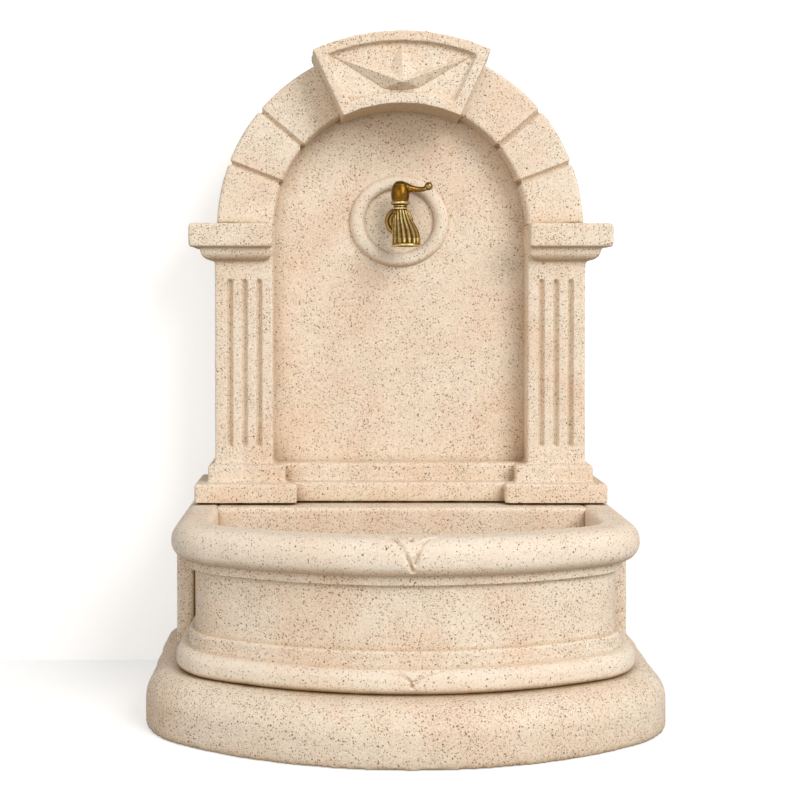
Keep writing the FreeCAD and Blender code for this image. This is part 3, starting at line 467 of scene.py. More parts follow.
class FOUNTAIN_OT_base_slab(bpy.types.Operator):
    """Build the base slab: a bow-fronted block with a rounded top edge"""

    bl_idname = "fountain.base_slab"
    bl_label = "Base slab"

    EDGE_WIDE = 130
    EDGE_ROUND = 42
    WINGS = ((120, 24), (200, 30), (280, 37))
    WASTE_AHEAD = 263
    WASTE_HOLE = 45.9

    def execute(self, context):
        level = BASE_TOP - self.EDGE_ROUND
        profile = [(-self.EDGE_WIDE, 0), (-1, 0), (0, 1), (0, level)]
        profile += arc(-self.EDGE_ROUND, level, self.EDGE_ROUND, 0, 90, 10)[1:]
        profile.append((-self.EDGE_WIDE, BASE_TOP))
        parts = [
            sweep("base_edge", profile, half=383, front=485, bow=550, corner=150, step=12),
            slab("base_middle", bow_plan(half=263, front=365, bow=430, corner=30) + CHASE, 0, BASE_TOP),
        ]
        for side in (-1, 1):
            low, high = sorted((side * 300, side * 382))
            for deep, rounding in self.WINGS:
                parts.append(block("base_wing", low, high, 0, deep, 1, BASE_TOP - 3, rounding * MM))
        base = fused(join("base_stone", parts), sizes().base_cell)
        let_go()
        bpy.ops.mesh.primitive_cylinder_add(
            vertices=64,
            radius=self.WASTE_HOLE * MM,
            depth=0.2,
            location=spot(0, self.WASTE_AHEAD, BASE_TOP / 2),
        )
        cut(base, bpy.context.active_object)
        cast(base, sizes().base_cell)
        stone_piece(base, "base_slab")
        return {"FINISHED"}


class FOUNTAIN_OT_basin(bpy.types.Operator):
    """Build the basin: one casting with its rolls, frieze, ledge and rear piers, and carved leaves"""

    bl_idname = "fountain.basin"
    bl_label = "Basin"

    PIERS = ((323, 352, 156), (285, 326, 136))
    RIM_LEAF = (
        (
            (-31, 408, 296),
            (-20, 419, 293.5),
            (-13, 427, 287),
            (-5.3, 435, 273),
            (1, 435, 257),
            (2.6, 433, 252),
        ),
        ((37, 406, 296), (26, 414, 294.5), (17, 424, 290), (9.5, 435, 276), (6, 436, 264)),
        ((0.4, 410, 296), (0.6, 420, 293)),
    )
    FOOT_LEAF = (
        ((-36, 418, 112), (-16, 423, 111), (-7, 426, 108), (0.6, 428.5, 101), (1.8, 429, 95)),
        ((46, 416, 112), (28, 421, 111.5), (13, 426, 108), (6, 428, 102)),
    )
    FOOT_LEAF_SCALE = 0.9

    def profile(self):
        """The basin's wall, cut from front to back: (out, up) corners, up its face and down inside."""
        roll = arc(16, 94, 12, -90, 0, 6) + arc(13, 101, 15, 0, 90, 8)
        fillet = [(9.6, 116), (9, 117), (9, 133)] + arc(5, 135, 4, 0, 90, 4)
        frieze = [(0.6, 139), (0, 140), (0, 226), (0.6, 228)]
        cove = arc(7, 231, 3, -90, 0, 4) + [(10, 240.4), (10.4, 242)]
        rim = arc(11, 266, 24, -84, 0, 9) + arc(9, 270, 26, 0, 90, 10)
        inside = arc(-15, 286, 10, 90, 180, 6) + arc(-47, 149, 22, 0, -90, 6) + [(-60, 127)]
        return [(-60, BASE_TOP)] + roll + fillet + frieze + cove + rim + inside

    def execute(self, context):
        wall = sweep("basin_wall", self.profile(), half=310.5, front=402, bow=545, corner=80, step=6)
        weathered(wall)
        half, deep = sizes().leaf_half, sizes().leaf_deep
        carve(wall, self.RIM_LEAF, half, deep, cuts=4)
        carve(wall, self.FOOT_LEAF, half * self.FOOT_LEAF_SCALE, deep, cuts=4)
        stone_piece(wall, "basin", RUBBED)
        floor = bow_plan(half=262, front=356, bow=500, corner=35, back=100)
        ledge = [(-290, 0), (-290, 150), (290, 150), (290, 0)] + CHASE
        parts = [
            slab("basin_floor", floor, BASE_TOP, 127),
            slab("basin_ledge", ledge, BASE_TOP, LEDGE - 0.4),
        ]
        for side in (-1, 1):
            for inner, outer, deep in self.PIERS:
                low, high = sorted((side * inner, side * outer))
                parts.append(block("basin_pier", low, high, 0, deep, BASE_TOP, 262, 4 * MM))
        stone_piece(cast(join("basin_bed", parts), sizes().coarse_cell), "basin")
        return {"FINISHED"}


class FOUNTAIN_OT_field(bpy.types.Operator):
    """Build the slab of the back panel, with the chase for the pipe in its back"""

    bl_idname = "fountain.field"
    bl_label = "Panel field"

    HALF = 295
    SPRING = 742
    CHASE_TOP = 788

    def execute(self, context):
        half, chase = self.HALF, CHASE_HALF
        head = arc(0, ARCH_CENTRE, half - 2, ARCH_START, 180 - ARCH_START, 48)
        head = [(half, self.SPRING), *head, (-half, self.SPRING)]
        front = [(-half, LEDGE), (half, LEDGE)] + head
        back = [(chase, LEDGE), (half, LEDGE)] + head + [(-half, LEDGE), (-chase, LEDGE)]
        back += [(-chase, self.CHASE_TOP), (chase, self.CHASE_TOP)]
        parts = []
        for name, outline, behind, ahead in (
            ("panel_back", back, 0, CHASE_DEEP),
            ("panel_front", front, CHASE_DEEP - 1, FIELD_AHEAD),
        ):
            part = draw(name, [spot(x, behind, up) for x, up in outline])
            pull((0, (behind - ahead) * MM, 0))
            parts.append(close_up(part))
        stone_piece(cast(join("panel_field", parts), sizes().coarse_cell), "back_panel")
        return {"FINISHED"}


class FOUNTAIN_OT_arch(bpy.types.Operator):
    """Build the arch, and carve the joint grooves between its stones"""

    bl_idname = "fountain.arch"
    bl_label = "Arch"

    INNER = 203.5
    OUTER = 294.5
    BEHIND = 40
    CHAMFER = 4
    JOINTS = (21, 40, 140, 159)

    def place(self, radius, turn, ahead):
        """A place on the arch as (x, ahead, up), for an angle in degrees."""
        turn = math.radians(turn)
        return (radius * math.cos(turn), ahead, ARCH_CENTRE + radius * math.sin(turn))

    def execute(self, context):
        inner, outer, behind, front = self.INNER, self.OUTER, self.BEHIND, PILASTER_FRONT
        section = [
            (inner, behind),
            (outer, behind),
            (outer, front - self.CHAMFER),
            (outer - self.CHAMFER, front),
            (inner + self.CHAMFER, front),
            (inner, front - self.CHAMFER),
        ]
        section = [spot(*self.place(radius, ARCH_START, ahead)) for radius, ahead in section]
        arch = draw("arch_stones", section)
        angle = math.radians(180 - 2 * ARCH_START)
        bpy.ops.mesh.spin(steps=88, angle=angle, center=spot(0, 0, ARCH_CENTRE), axis=(0, 1, 0))
        cast(close_up(arch), sizes().fine_cell)
        path = [(inner, behind), (inner, front - 1), (outer, front - 1), (outer, behind)]
        joints = [[self.place(radius, turn, ahead) for radius, ahead in path] for turn in self.JOINTS]
        carve(arch, joints, sizes().joint_half, sizes().joint_deep)
        stone_piece(arch, "back_panel")
        return {"FINISHED"}


class FOUNTAIN_OT_pilasters(bpy.types.Operator):
    """Build a pilaster with its flutes, foot, moulding and abacus, and its twin"""

    bl_idname = "fountain.pilasters"
    bl_label = "Pilasters"

    FLUTES = (226, 249.4, 272.8)
    FLUTE_ENDS = (388, 648)
    OVOLO_LOW = 682

    def lower_front(self, middle, along):
        """Passes the level edges along the underside of the moulding."""
        return middle.z < (self.OVOLO_LOW + 0.1) * MM and abs(along.z) < 0.1

    def execute(self, context):
        soft = sizes().edge_round
        front = PILASTER_FRONT
        parts = [
            block("shaft", 203.5, 297.5, 34, front, 350, 690, 3 * MM),
            block("foot_low", 164, 328, 0, 125, bed(), 329, soft, all_but_bed),
            block("foot_high", 183, 308, 0, 107, 317, 357, soft),
            block("ovolo", 203, 319, 0, 117, self.OVOLO_LOW, 720, 18 * MM, self.lower_front),
            block("abacus", 202, 336, 0, 130, 703, 742, soft),
        ]
        right = fused(join("pilaster_right", parts), sizes().fine_cell)
        left = mirror(right, "pilaster_left")
        for item, side in ((right, 1), (left, -1)):
            cast(item, sizes().fine_cell)
            flutes = [[(side * x, front, up) for up in self.FLUTE_ENDS] for x in self.FLUTES]
            carve(item, flutes, sizes().flute_half, sizes().flute_deep, sharp=0.8, cuts=1)
            stone_piece(item, "back_panel")
        return {"FINISHED"}


class FOUNTAIN_OT_sills(bpy.types.Operator):
    """Build the two bands along the foot of the field"""

    bl_idname = "fountain.sills"
    bl_label = "Sill bands"

    def execute(self, context):
        soft = sizes().edge_round
        parts = [
            block("sill_low", -180, 180, 20, 103, bed(), 329, soft, all_but_bed),
            block("sill_high", -205, 205, 20, 80, 319, 357, soft),
        ]
        stone_piece(cast(join("sill_bands", parts), sizes().fine_cell), "back_panel")
        return {"FINISHED"}


class FOUNTAIN_OT_keystone(bpy.types.Operator):
    """Build the keystone, with its raised border and a four-armed star in the sunk field"""

    bl_idname = "fountain.keystone"
    bl_label = "Keystone and star"

    FRONT = 155
    DEEP = 108
    BACK_SCALE = 1.04
    MIDDLE = 972
    STAR = ((0, 1024), (24, 976), (114, 1002), (28, 951), (0, 945), (-28, 949), (-112, 1002), (-19, 979))
    STAR_FOOT = 3
    STAR_BLOCK = 3.5
    APEX = 958

    def bulge(self, half, level, rise, steps):
        """Corners of a shallow arc from the left end to the right end."""
        radius = (half**2 + rise**2) / (2 * rise)
        lean = math.degrees(math.asin(half / radius))
        return arc(0, level + rise - radius, radius, 90 + lean, 90 - lean, steps)

    def wedge(self):
        """The keystone with its border and sunk field. A rounder outline would spoil the inset."""
        outline = self.bulge(91, 906, 20, 6) + self.bulge(139.5, 1010, 30, 8)[::-1]
        key = draw("keystone", [spot(x, self.FRONT, up) for x, up in outline])
        pull((0, self.DEEP * MM, 0))
        middle = spot(0, self.FRONT, self.MIDDLE)
        bpy.ops.transform.resize(value=(self.BACK_SCALE, 1, 1), center_override=middle)
        pick(edit(close_up(key)), "FACE", lambda m, n: abs(m.y - middle.y) < 0.1 * MM)
        bpy.ops.mesh.inset(thickness=sizes().border, use_even_offset=True)
        bpy.ops.mesh.inset(thickness=sizes().splay, depth=-sizes().sunk, use_even_offset=True)
        return cast(key, sizes().fine_cell)

    def star(self):
        """The star: a low block whose front is drawn up to one point, with a facet to each side."""
        floor = self.FRONT - sizes().sunk / MM
        star = draw("star", [spot(x, floor - self.STAR_FOOT, up) for x, up in self.STAR])
        pull((0, -self.STAR_BLOCK * MM, 0))
        pick(edit(close_up(star)), "FACE", lambda m, n: n.y < -0.9)
        bpy.ops.mesh.poke(offset=0)
        level = spot(0, floor, 0).y
        low, high = spot(0, 0, 950).z, spot(0, 0, 1022).z
        pick(star, "VERT", lambda m, n: m.y < level and low < m.z < high and abs(m.x) < 5 * MM)
        point = sum(v.co.z for v in bmesh.from_edit_mesh(star.data).verts if v.select)
        bpy.ops.transform.translate(value=(0, -sizes().star_high, self.APEX * MM - point))
        return cast(close_up(star), sizes().star_cell, 1)

    def execute(self, context):
        stone_piece(join("keystone", [self.wedge(), self.star()]), "back_panel")
        return {"FINISHED"}


class FOUNTAIN_OT_tap_ring(bpy.types.Operator):
    """Build the oval stone ring round the tap"""

    bl_idname = "fountain.tap_ring"
    bl_label = "Stone ring"

    RADIUS = 66
    THICK = 12.5
    STRETCH = (1.04, 1, 0.96)

    def execute(self, context):
        let_go()
        middle = spot(0, FIELD_AHEAD, TAP_LEVEL)
        bpy.ops.mesh.primitive_torus_add(
            location=middle,
            rotation=(math.pi / 2, 0, 0),
            major_segments=72,
            minor_segments=20,
            major_radius=self.RADIUS * MM,
            minor_radius=self.THICK * MM,
        )
        ring = settled("stone_ring")
        open_up(ring)
        bpy.ops.transform.resize(value=self.STRETCH, center_override=middle)
        cast(close_up(ring), sizes().ring_cell, 4)
        stone_piece(ring, "back_panel", RUBBED)
        return {"FINISHED"}


# Brass


def brass_piece(item, body, *nodes):
    item.data.materials.clear()
    item.data.materials.append(finish("aged_cast_brass", aged_brass))
    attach(item, body)
    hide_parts(*nodes)


class FOUNTAIN_OT_tap(bpy.types.Operator):
    """Build the tap's casting: barrel, valve chest and the ribbed bell that pours"""

    bl_idname = "fountain.tap"
    bl_label = "Tap"

    CHEST = (
        *((0, -8), (8, -8), (11, -4), (11.6, 6), (11.4, 12), (10.2, 14), (10.2, 16)),
        *((12.4, 17.4), (12.4, 18.8), (10.6, 20), (10.6, 23), (0, 23)),
    )
    BARREL = ((0, 48), (10.4, 48), (10.4, 52), (12.4, 53), (12.4, 55.5), (10, 57), (10, 90), (0, 90))
    BELL = (
        (1.8, 0.5, 11, 11.6, -24),
        (2.6, 1.8, 5, 13.4, -16),
        (4, 4, -2, 15.8, -11),
        (5.8, 7, -9, 18.4, -8),
        (7.4, 10.4, -16, 20.6, -5),
        (8.3, 14, -23, 22.1, -3),
        (8.6, 17.6, -30, 22.8, -2),
        (8.6, 21, -39.5, 23.2, -2),
    )
    GROOVE = 0.17
    RIB_CORNERS = 10
    RIB_BLUNT = 0.7

    def middle(self, station):
        """The middle of one of the bell's stations: (right, forward, up, radius, lean)."""
        return spot(station[0], TAP_AHEAD + station[1], TAP_LEVEL + station[2])

    def bell(self):
        """A ribbed outline pulled down from station to station, wider and leaning forward."""
        count = sizes().ribs * self.RIB_CORNERS
        x, forward, up, radius, lean = self.BELL[0]
        corners = []
        for i in range(count):
            swell = abs(math.sin(math.pi * i / self.RIB_CORNERS)) ** self.RIB_BLUNT
            turn = math.tau * i / count
            reach = radius * (1 - self.GROOVE * (1 - swell))
            ahead = TAP_AHEAD + forward + reach * math.sin(turn)
            corners.append(spot(x + reach * math.cos(turn), ahead, TAP_LEVEL + up))
        item = draw("bell", corners)
        tilt(lean, self.middle(self.BELL[0]))
        for before, after in zip(self.BELL, self.BELL[1:]):
            right, forward, up, _, lean = [b - a for a, b in zip(before, after)]
            pull((right * MM, -forward * MM, up * MM))
            scale = after[3] / before[3]
            bpy.ops.transform.resize(value=(scale, scale, 1), center_override=self.middle(after))
            tilt(lean, self.middle(after))
        bpy.ops.mesh.delete(type="ONLY_FACE")
        close_up(item)
        return modify(item, "SOLIDIFY", thickness=sizes().bell_wall, offset=-1)

    def lip(self):
        """The plain band under the ends of the ribs, leaning as the bell does."""
        x, forward, up, radius, lean = self.BELL[-1]
        profile = [(-3, -4), (-0.4, -4), (0.2, -3), (-0.6, -0.6), (-3, 0.4)]
        profile = [(radius + out, height) for out, height in profile]
        band = turned("bell_band", profile, x, TAP_AHEAD + forward, TAP_LEVEL + up, 64)
        open_up(band)
        tilt(lean, self.middle(self.BELL[-1]))
        let_go()
        return band

    def execute(self, context):
        parts = [
            turned("chest", self.CHEST, 0, TAP_AHEAD, TAP_LEVEL),
            turned_outwards("barrel", self.BARREL, 0, TAP_LEVEL),
            self.bell(),
            self.lip(),
        ]
        tap = smooth(softened(join("tap_casting", parts), sizes().tap_cell, 2))
        brass_piece(tap, "fountain", "tap_body")
        return {"FINISHED"}


class FOUNTAIN_OT_flange(bpy.types.Operator):
    """Build the round rosette between the tap and the stone"""

    bl_idname = "fountain.flange"
    bl_label = "Rosette"

    BORE = 10.45

    def execute(self, context):
        profile = [(self.BORE, FIELD_AHEAD), (23, FIELD_AHEAD), (23, 48.2)]
        profile += arc(20.2, 47.4, 2.6, 20, 80, 4) + [(17.4, 50.2)]
        profile += arc(14.4, 48.6, 2.9, 30, 95, 4) + [(self.BORE, 51.5)]
        rosette = turned_outwards("rosette", profile, 0, TAP_LEVEL, 72)
        take(rosette)
        bpy.ops.object.shade_smooth_by_angle(angle=math.radians(35))
        brass_piece(rosette, "fountain", "tap_flange")
        return {"FINISHED"}


class FOUNTAIN_OT_lever(bpy.types.Operator):
    """Build the lever handle: domed hub with a collar, curved lever and ball end"""

    bl_idname = "fountain.lever"
    bl_label = "Lever handle"

    BASE = 771.4
    HUB_SIDE = (
        *((13.2, 7.2), (13.8, 9), (14.6, 13), (14.9, 18), (14.5, 23), (13.5, 28)),
        *((11.6, 33), (8.4, 36.8), (4.4, 38.8), (0, 39.2)),
    )
    LEVER = (
        (1, 27, 10.6),
        (6, 27.6, 10),
        (11, 27.4, 8.8),
        (15, 26.8, 7.2),
        (19, 26.4, 5.8),
        (23, 25.8, 4.9),
        (29, 25.2, 4.3),
        (34, 25.2, 4.1),
        (38.5, 26.2, 4.3),
        (42, 28, 4.8),
    )
    BALL = (45.3, 30.2, 6.8)

    def lever(self):
        """A ring pulled along stations of (right, up, radius)."""
        x, up, radius = self.LEVER[0]
        turns = [math.tau * i / 20 for i in range(20)]
        ring = [(radius * math.cos(turn), radius * math.sin(turn)) for turn in turns]
        lever = draw("lever", [spot(x, TAP_AHEAD + a, self.BASE + up + b) for a, b in ring])
        for before, after in zip(self.LEVER, self.LEVER[1:]):
            pull(((after[0] - before[0]) * MM, 0, (after[1] - before[1]) * MM))
            scale = after[2] / before[2]
            middle = spot(after[0], TAP_AHEAD, self.BASE + after[1])
            bpy.ops.transform.resize(value=(1, scale, scale), center_override=middle)
        return close_up(lever)

    def ball(self):
        let_go()
        x, up, radius = self.BALL
        bpy.ops.mesh.primitive_uv_sphere_add(
            segments=32, ring_count=16, radius=radius * MM, location=spot(x, TAP_AHEAD, self.BASE + up)
        )
        return settled("ball")

    def execute(self, context):
        hub = [(0, 0.2), (13, 0.2)] + arc(12.9, 3.6, 2.9, -80, 80, 8) + list(self.HUB_SIDE)
        parts = [turned("hub", hub, 0, TAP_AHEAD, self.BASE), self.lever(), self.ball()]
        handle = smooth(softened(join("lever_casting", parts), sizes().lever_cell, 5))
        brass_piece(handle, "tap_handle", "lever_handle")
        return {"FINISHED"}


class FOUNTAIN_OT_fittings(bpy.types.Operator):
    """Give the pipe, the waste and the valve's inner pieces their materials"""

    bl_idname = "fountain.fittings"
    bl_label = "Fittings"

    def execute(self, context):
        made_of = (
            ("machined_brass", "headwork_body spindle back_nut inlet_elbow pipe_olive pipe_nut"),
            ("machined_brass", "inlet_union waste_body waste_nut waste_plug"),
            ("copper_tube", "supply_pipe"),
            ("zinc_steel", "panel_dowels handle_screw back_washer"),
            ("black_rubber", "disc_seal headwork_gasket spindle_o_ring"),
            ("black_rubber", "waste_gasket_top waste_gasket_under plug_seal"),
            ("red_fibre", "fibre_washer"),
            ("alumina", "fixed_disc turning_disc"),
            ("grey_polyamide", "pipe_clips"),
        )
        for name, nodes in made_of:
            for node in nodes.split():
                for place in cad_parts[node].material_slots:
                    place.link = "OBJECT"
                    place.material = finish(name, plain_finish, *PLAIN_FINISHES[name])
        return {"FINISHED"}


class FOUNTAIN_OT_stage(bpy.types.Operator):
    """Build the floor, the wall behind, the lights and the camera"""

    bl_idname = "fountain.stage"
    bl_label = "Stage"

    AIM = (0, 0, 0.5)
    LAMPS = (
        ("key_light", (2.6, -3.6, 3.1), 3.0, 157, "FFFCF7"),
        ("fill_light", (-1.6, -3.2, 0.8), 2.4, 26, "FFF1E0"),
    )
    PAPER_HALF = 7
    PAPER_DROP = 0.0005
    PAPER_BEHIND = 0.06
    OPENING_HALF = 0.21
    OPENING_TOP = 0.8
    CAMERA = (-0.0943, -2.0086, 0.628)
    CAMERA_DOWN = 0.734
    SENSOR = 36
    LENS = 60.64
    SHIFT = (0.0733, -0.11)
    SKY = 0.5

    def lamp(self, name, place, size, power, tint):
        let_go()
        bpy.ops.object.light_add(type="AREA", location=place)
        item = named(name)
        item.data.shape = "DISK"
        item.data.size = size
        item.data.energy = power
        item.data.color = linear(tint)
        item.rotation_euler = (Vector(self.AIM) - Vector(place)).to_track_quat("-Z", "Y").to_euler()

    def papers(self):
        """The floor and the wall behind, which is open where the fountain hides it, so that light
        reaches the fountain's back."""
        far, side, top = self.PAPER_HALF, self.OPENING_HALF, self.OPENING_TOP
        let_go()
        bpy.ops.mesh.primitive_grid_add(
            x_subdivisions=4, y_subdivisions=4, size=2 * far, location=(0, 0, -self.PAPER_DROP)
        )
        floor = named("floor")
        outline = [(-far, 0), (-side, 0), (-side, top), (side, top), (side, 0), (far, 0)]
        outline += [(far, far), (-far, far)]
        behind = WALL + self.PAPER_BEHIND
        backdrop = draw("backdrop", [Vector((x, behind, z - self.PAPER_DROP)) for x, z in outline])
        let_go()
        if backdrop.data.polygons[0].normal.y > 0:
            backdrop.data.flip_normals()
        for sheet in (floor, backdrop):
            sheet.data.materials.append(finish("white_paper", white_paper))

    def camera(self):
        let_go()
        turn = (math.radians(90 - self.CAMERA_DOWN), 0, 0)
        bpy.ops.object.camera_add(location=self.CAMERA, rotation=turn)
        camera = named("camera")
        camera.data.sensor_width = self.SENSOR
        camera.data.lens = self.LENS
        camera.data.shift_x, camera.data.shift_y = self.SHIFT
        return camera

    def sky(self, scene):
        """A white world: dim as a light, and plain white where it is seen."""
        scene.world = scene.world or bpy.data.worlds.new("studio")
        scene.world.use_nodes = True
        tree = scene.world.node_tree
        tree.nodes.clear()
        seen = seen_directly(tree)
        light = add(tree, "Background", {"Color": (1, 1, 1, 1), "Strength": self.SKY})
        plain = add(tree, "Background", {"Color": (1, 1, 1, 1), "Strength": 1.0})
        both = add(tree, "MixShader", {0: seen, 1: light, 2: plain})
        add(tree, "OutputWorld", {"Surface": both})

    def execute(self, context):
        for lamp in self.LAMPS:
            self.lamp(*lamp)
        self.papers()
        scene = bpy.context.scene
        scene.camera = self.camera()
        scene.view_settings.view_transform = "Standard"
        self.sky(scene)
        return {"FINISHED"}


# Materials. Where sockets go by number, a MapRange has the range it comes from in 1 and 2 and the one it
# goes to in 3 and 4, and a Mix has its share in 0, its colours in 6 and 7 and its result in 2.


def add(tree, kind, settings, **options):
    """Adds a shader node with its options, and sets its sockets to values, or links them to a node's
    first output or to the one that is named or numbered."""
    node = tree.nodes.new("ShaderNode" + kind)
    for name, value in options.items():
        setattr(node, name, value)
    for socket, value in settings.items():
        if isinstance(value, bpy.types.Node):
            value = (value, 0)
        if isinstance(value, tuple) and isinstance(value[0], bpy.types.Node):
            tree.links.new(value[0].outputs[value[1]], node.inputs[socket])
        else:
            node.inputs[socket].default_value = value
    return node


def finish(name, build, *values):
    """The material of this name, built in an empty tree when it is asked for first."""
    material = bpy.data.materials.get(name)
    if material is None:
        material = bpy.data.materials.new(name)
        material.use_nodes = True
        material.node_tree.nodes.clear()
        build(material.node_tree, *values)
    return material


def per(millimetres):
    """The scale of a pattern whose marks are this far apart."""
    return 1 / (millimetres * MM)


def seen_directly(tree):
    """One where a ray comes from the camera, a mirror-like surface or glass, nought for other light."""
    path = add(tree, "LightPath", {})
    camera, mirror_like, glass = [(path, f"Is {ray} Ray") for ray in ("Camera", "Glossy", "Transmission")]
    seen = add(tree, "Math", {0: camera, 1: mirror_like}, operation="MAXIMUM")
    return add(tree, "Math", {0: seen, 1: glass}, operation="MAXIMUM")


# Where hands and water rub the stone, from one height to another: the basin's two rolls and the ring
# round the tap
RUBBED = ((82, 117), (244, 300), (660, 840))

# The grains' cells in millimetres, the share of cells with a grain where it is sparse and where it is
# crowded, the grain's radius as a share of its cell, and how strong its colour is
GRAINS = (
    (6.5, 0.12, 0.45, 0.16, 0.9),
    (4.2, 0.35, 1.0, 0.22, 0.8),
    (3.0, 0.35, 0.95, 0.24, 0.6),
    (2.0, 0.4, 0.85, 0.26, 0.4),
)


def stained_and_shaded(tree, cream, shape, tone):
    """Ochre in the recesses and grooves and on faces that look down: partly ochre staining where rain
    doesn't wash, partly painted shade from ambient occlusion, in creases and on undersides.
    """
    # Painted shade and ochre staining where the ambient occlusion within 50 mm is low
    occlusion = add(tree, "AmbientOcclusion", {"Distance": 0.05}, samples=6)
    stain_and_shade = add(tree, "MapRange", {0: (occlusion, "AO"), 1: 0.68, 2: 0.12, 4: 0.85})
    # Painted shade in concave creases, from pointiness
    fold = add(tree, "MapRange", {0: (shape, "Pointiness"), 1: 0.485, 2: 0.44, 4: 0.45})
    facing = add(tree, "SeparateXYZ", {0: (shape, "Normal")})
    # Painted shade on faces that look down
    under = add(tree, "MapRange", {0: (facing, 2), 1: -0.35, 2: -0.95, 4: 0.6})
    ochre = add(tree, "Math", {0: stain_and_shade, 1: fold}, operation="MAXIMUM")
    ochre = add(tree, "Math", {0: ochre, 1: under}, operation="MAXIMUM")
    return add(tree, "Mix", {0: ochre, 6: (cream, 2), 7: tone["stone_deep"]}, data_type="RGBA")


def grained(tree, here, cream, kept, tone):
    """Brown grains of broken outline, more of them where a slow pattern of 42 mm crowds them. Gives
    the colour and the pattern of the grains."""
    crowd = add(tree, "TexNoise", {"Vector": here, "Scale": per(42), "Detail": 4.0, "Roughness": 0.65})
    crowded = add(tree, "MapRange", {0: crowd, 1: 0.38, 2: 0.66})
    ragged = add(tree, "TexNoise", {"Vector": here, "Scale": per(2.2), "Detail": 2.0})
    shake = {0: (ragged, 1), 1: (2.4 * MM,) * 3, 2: here}
    shaken = add(tree, "VectorMath", shake, operation="MULTIPLY_ADD")
    pits = None
    for apart, least, most, wide_as, strong in GRAINS:
        cells = add(tree, "TexVoronoi", {"Vector": shaken, "Scale": per(apart)})
        chance = add(tree, "SeparateColor", {0: (cells, "Color")})
        share = add(tree, "MapRange", {0: crowded, 3: least, 4: most})
        share = add(tree, "Math", {0: share, 1: kept}, operation="MULTIPLY")
        there = add(tree, "Math", {0: chance, 1: share}, operation="LESS_THAN")
        away = {0: (chance, 1), 1: 0.08, 2: (cells, "Distance")}
        reach = add(tree, "Math", away, operation="MULTIPLY_ADD")
        dot = add(tree, "MapRange", {0: reach, 1: wide_as + 0.12, 2: wide_as, 4: strong})
        grain = add(tree, "Math", {0: dot, 1: there}, operation="MULTIPLY")
        dark = add(tree, "MapRange", {0: (chance, 2), 1: 0.55, 2: 1.0})
        brown = add(tree, "Mix", {0: dark, 6: tone["speck"], 7: tone["speck_dark"]}, data_type="RGBA")
        cream = add(tree, "Mix", {0: grain, 6: (cream, 2), 7: (brown, 2)}, data_type="RGBA")
        pits = add(tree, "Math", {0: grain, 1: pits}, operation="MAXIMUM") if pits else grain
    return cream, pits


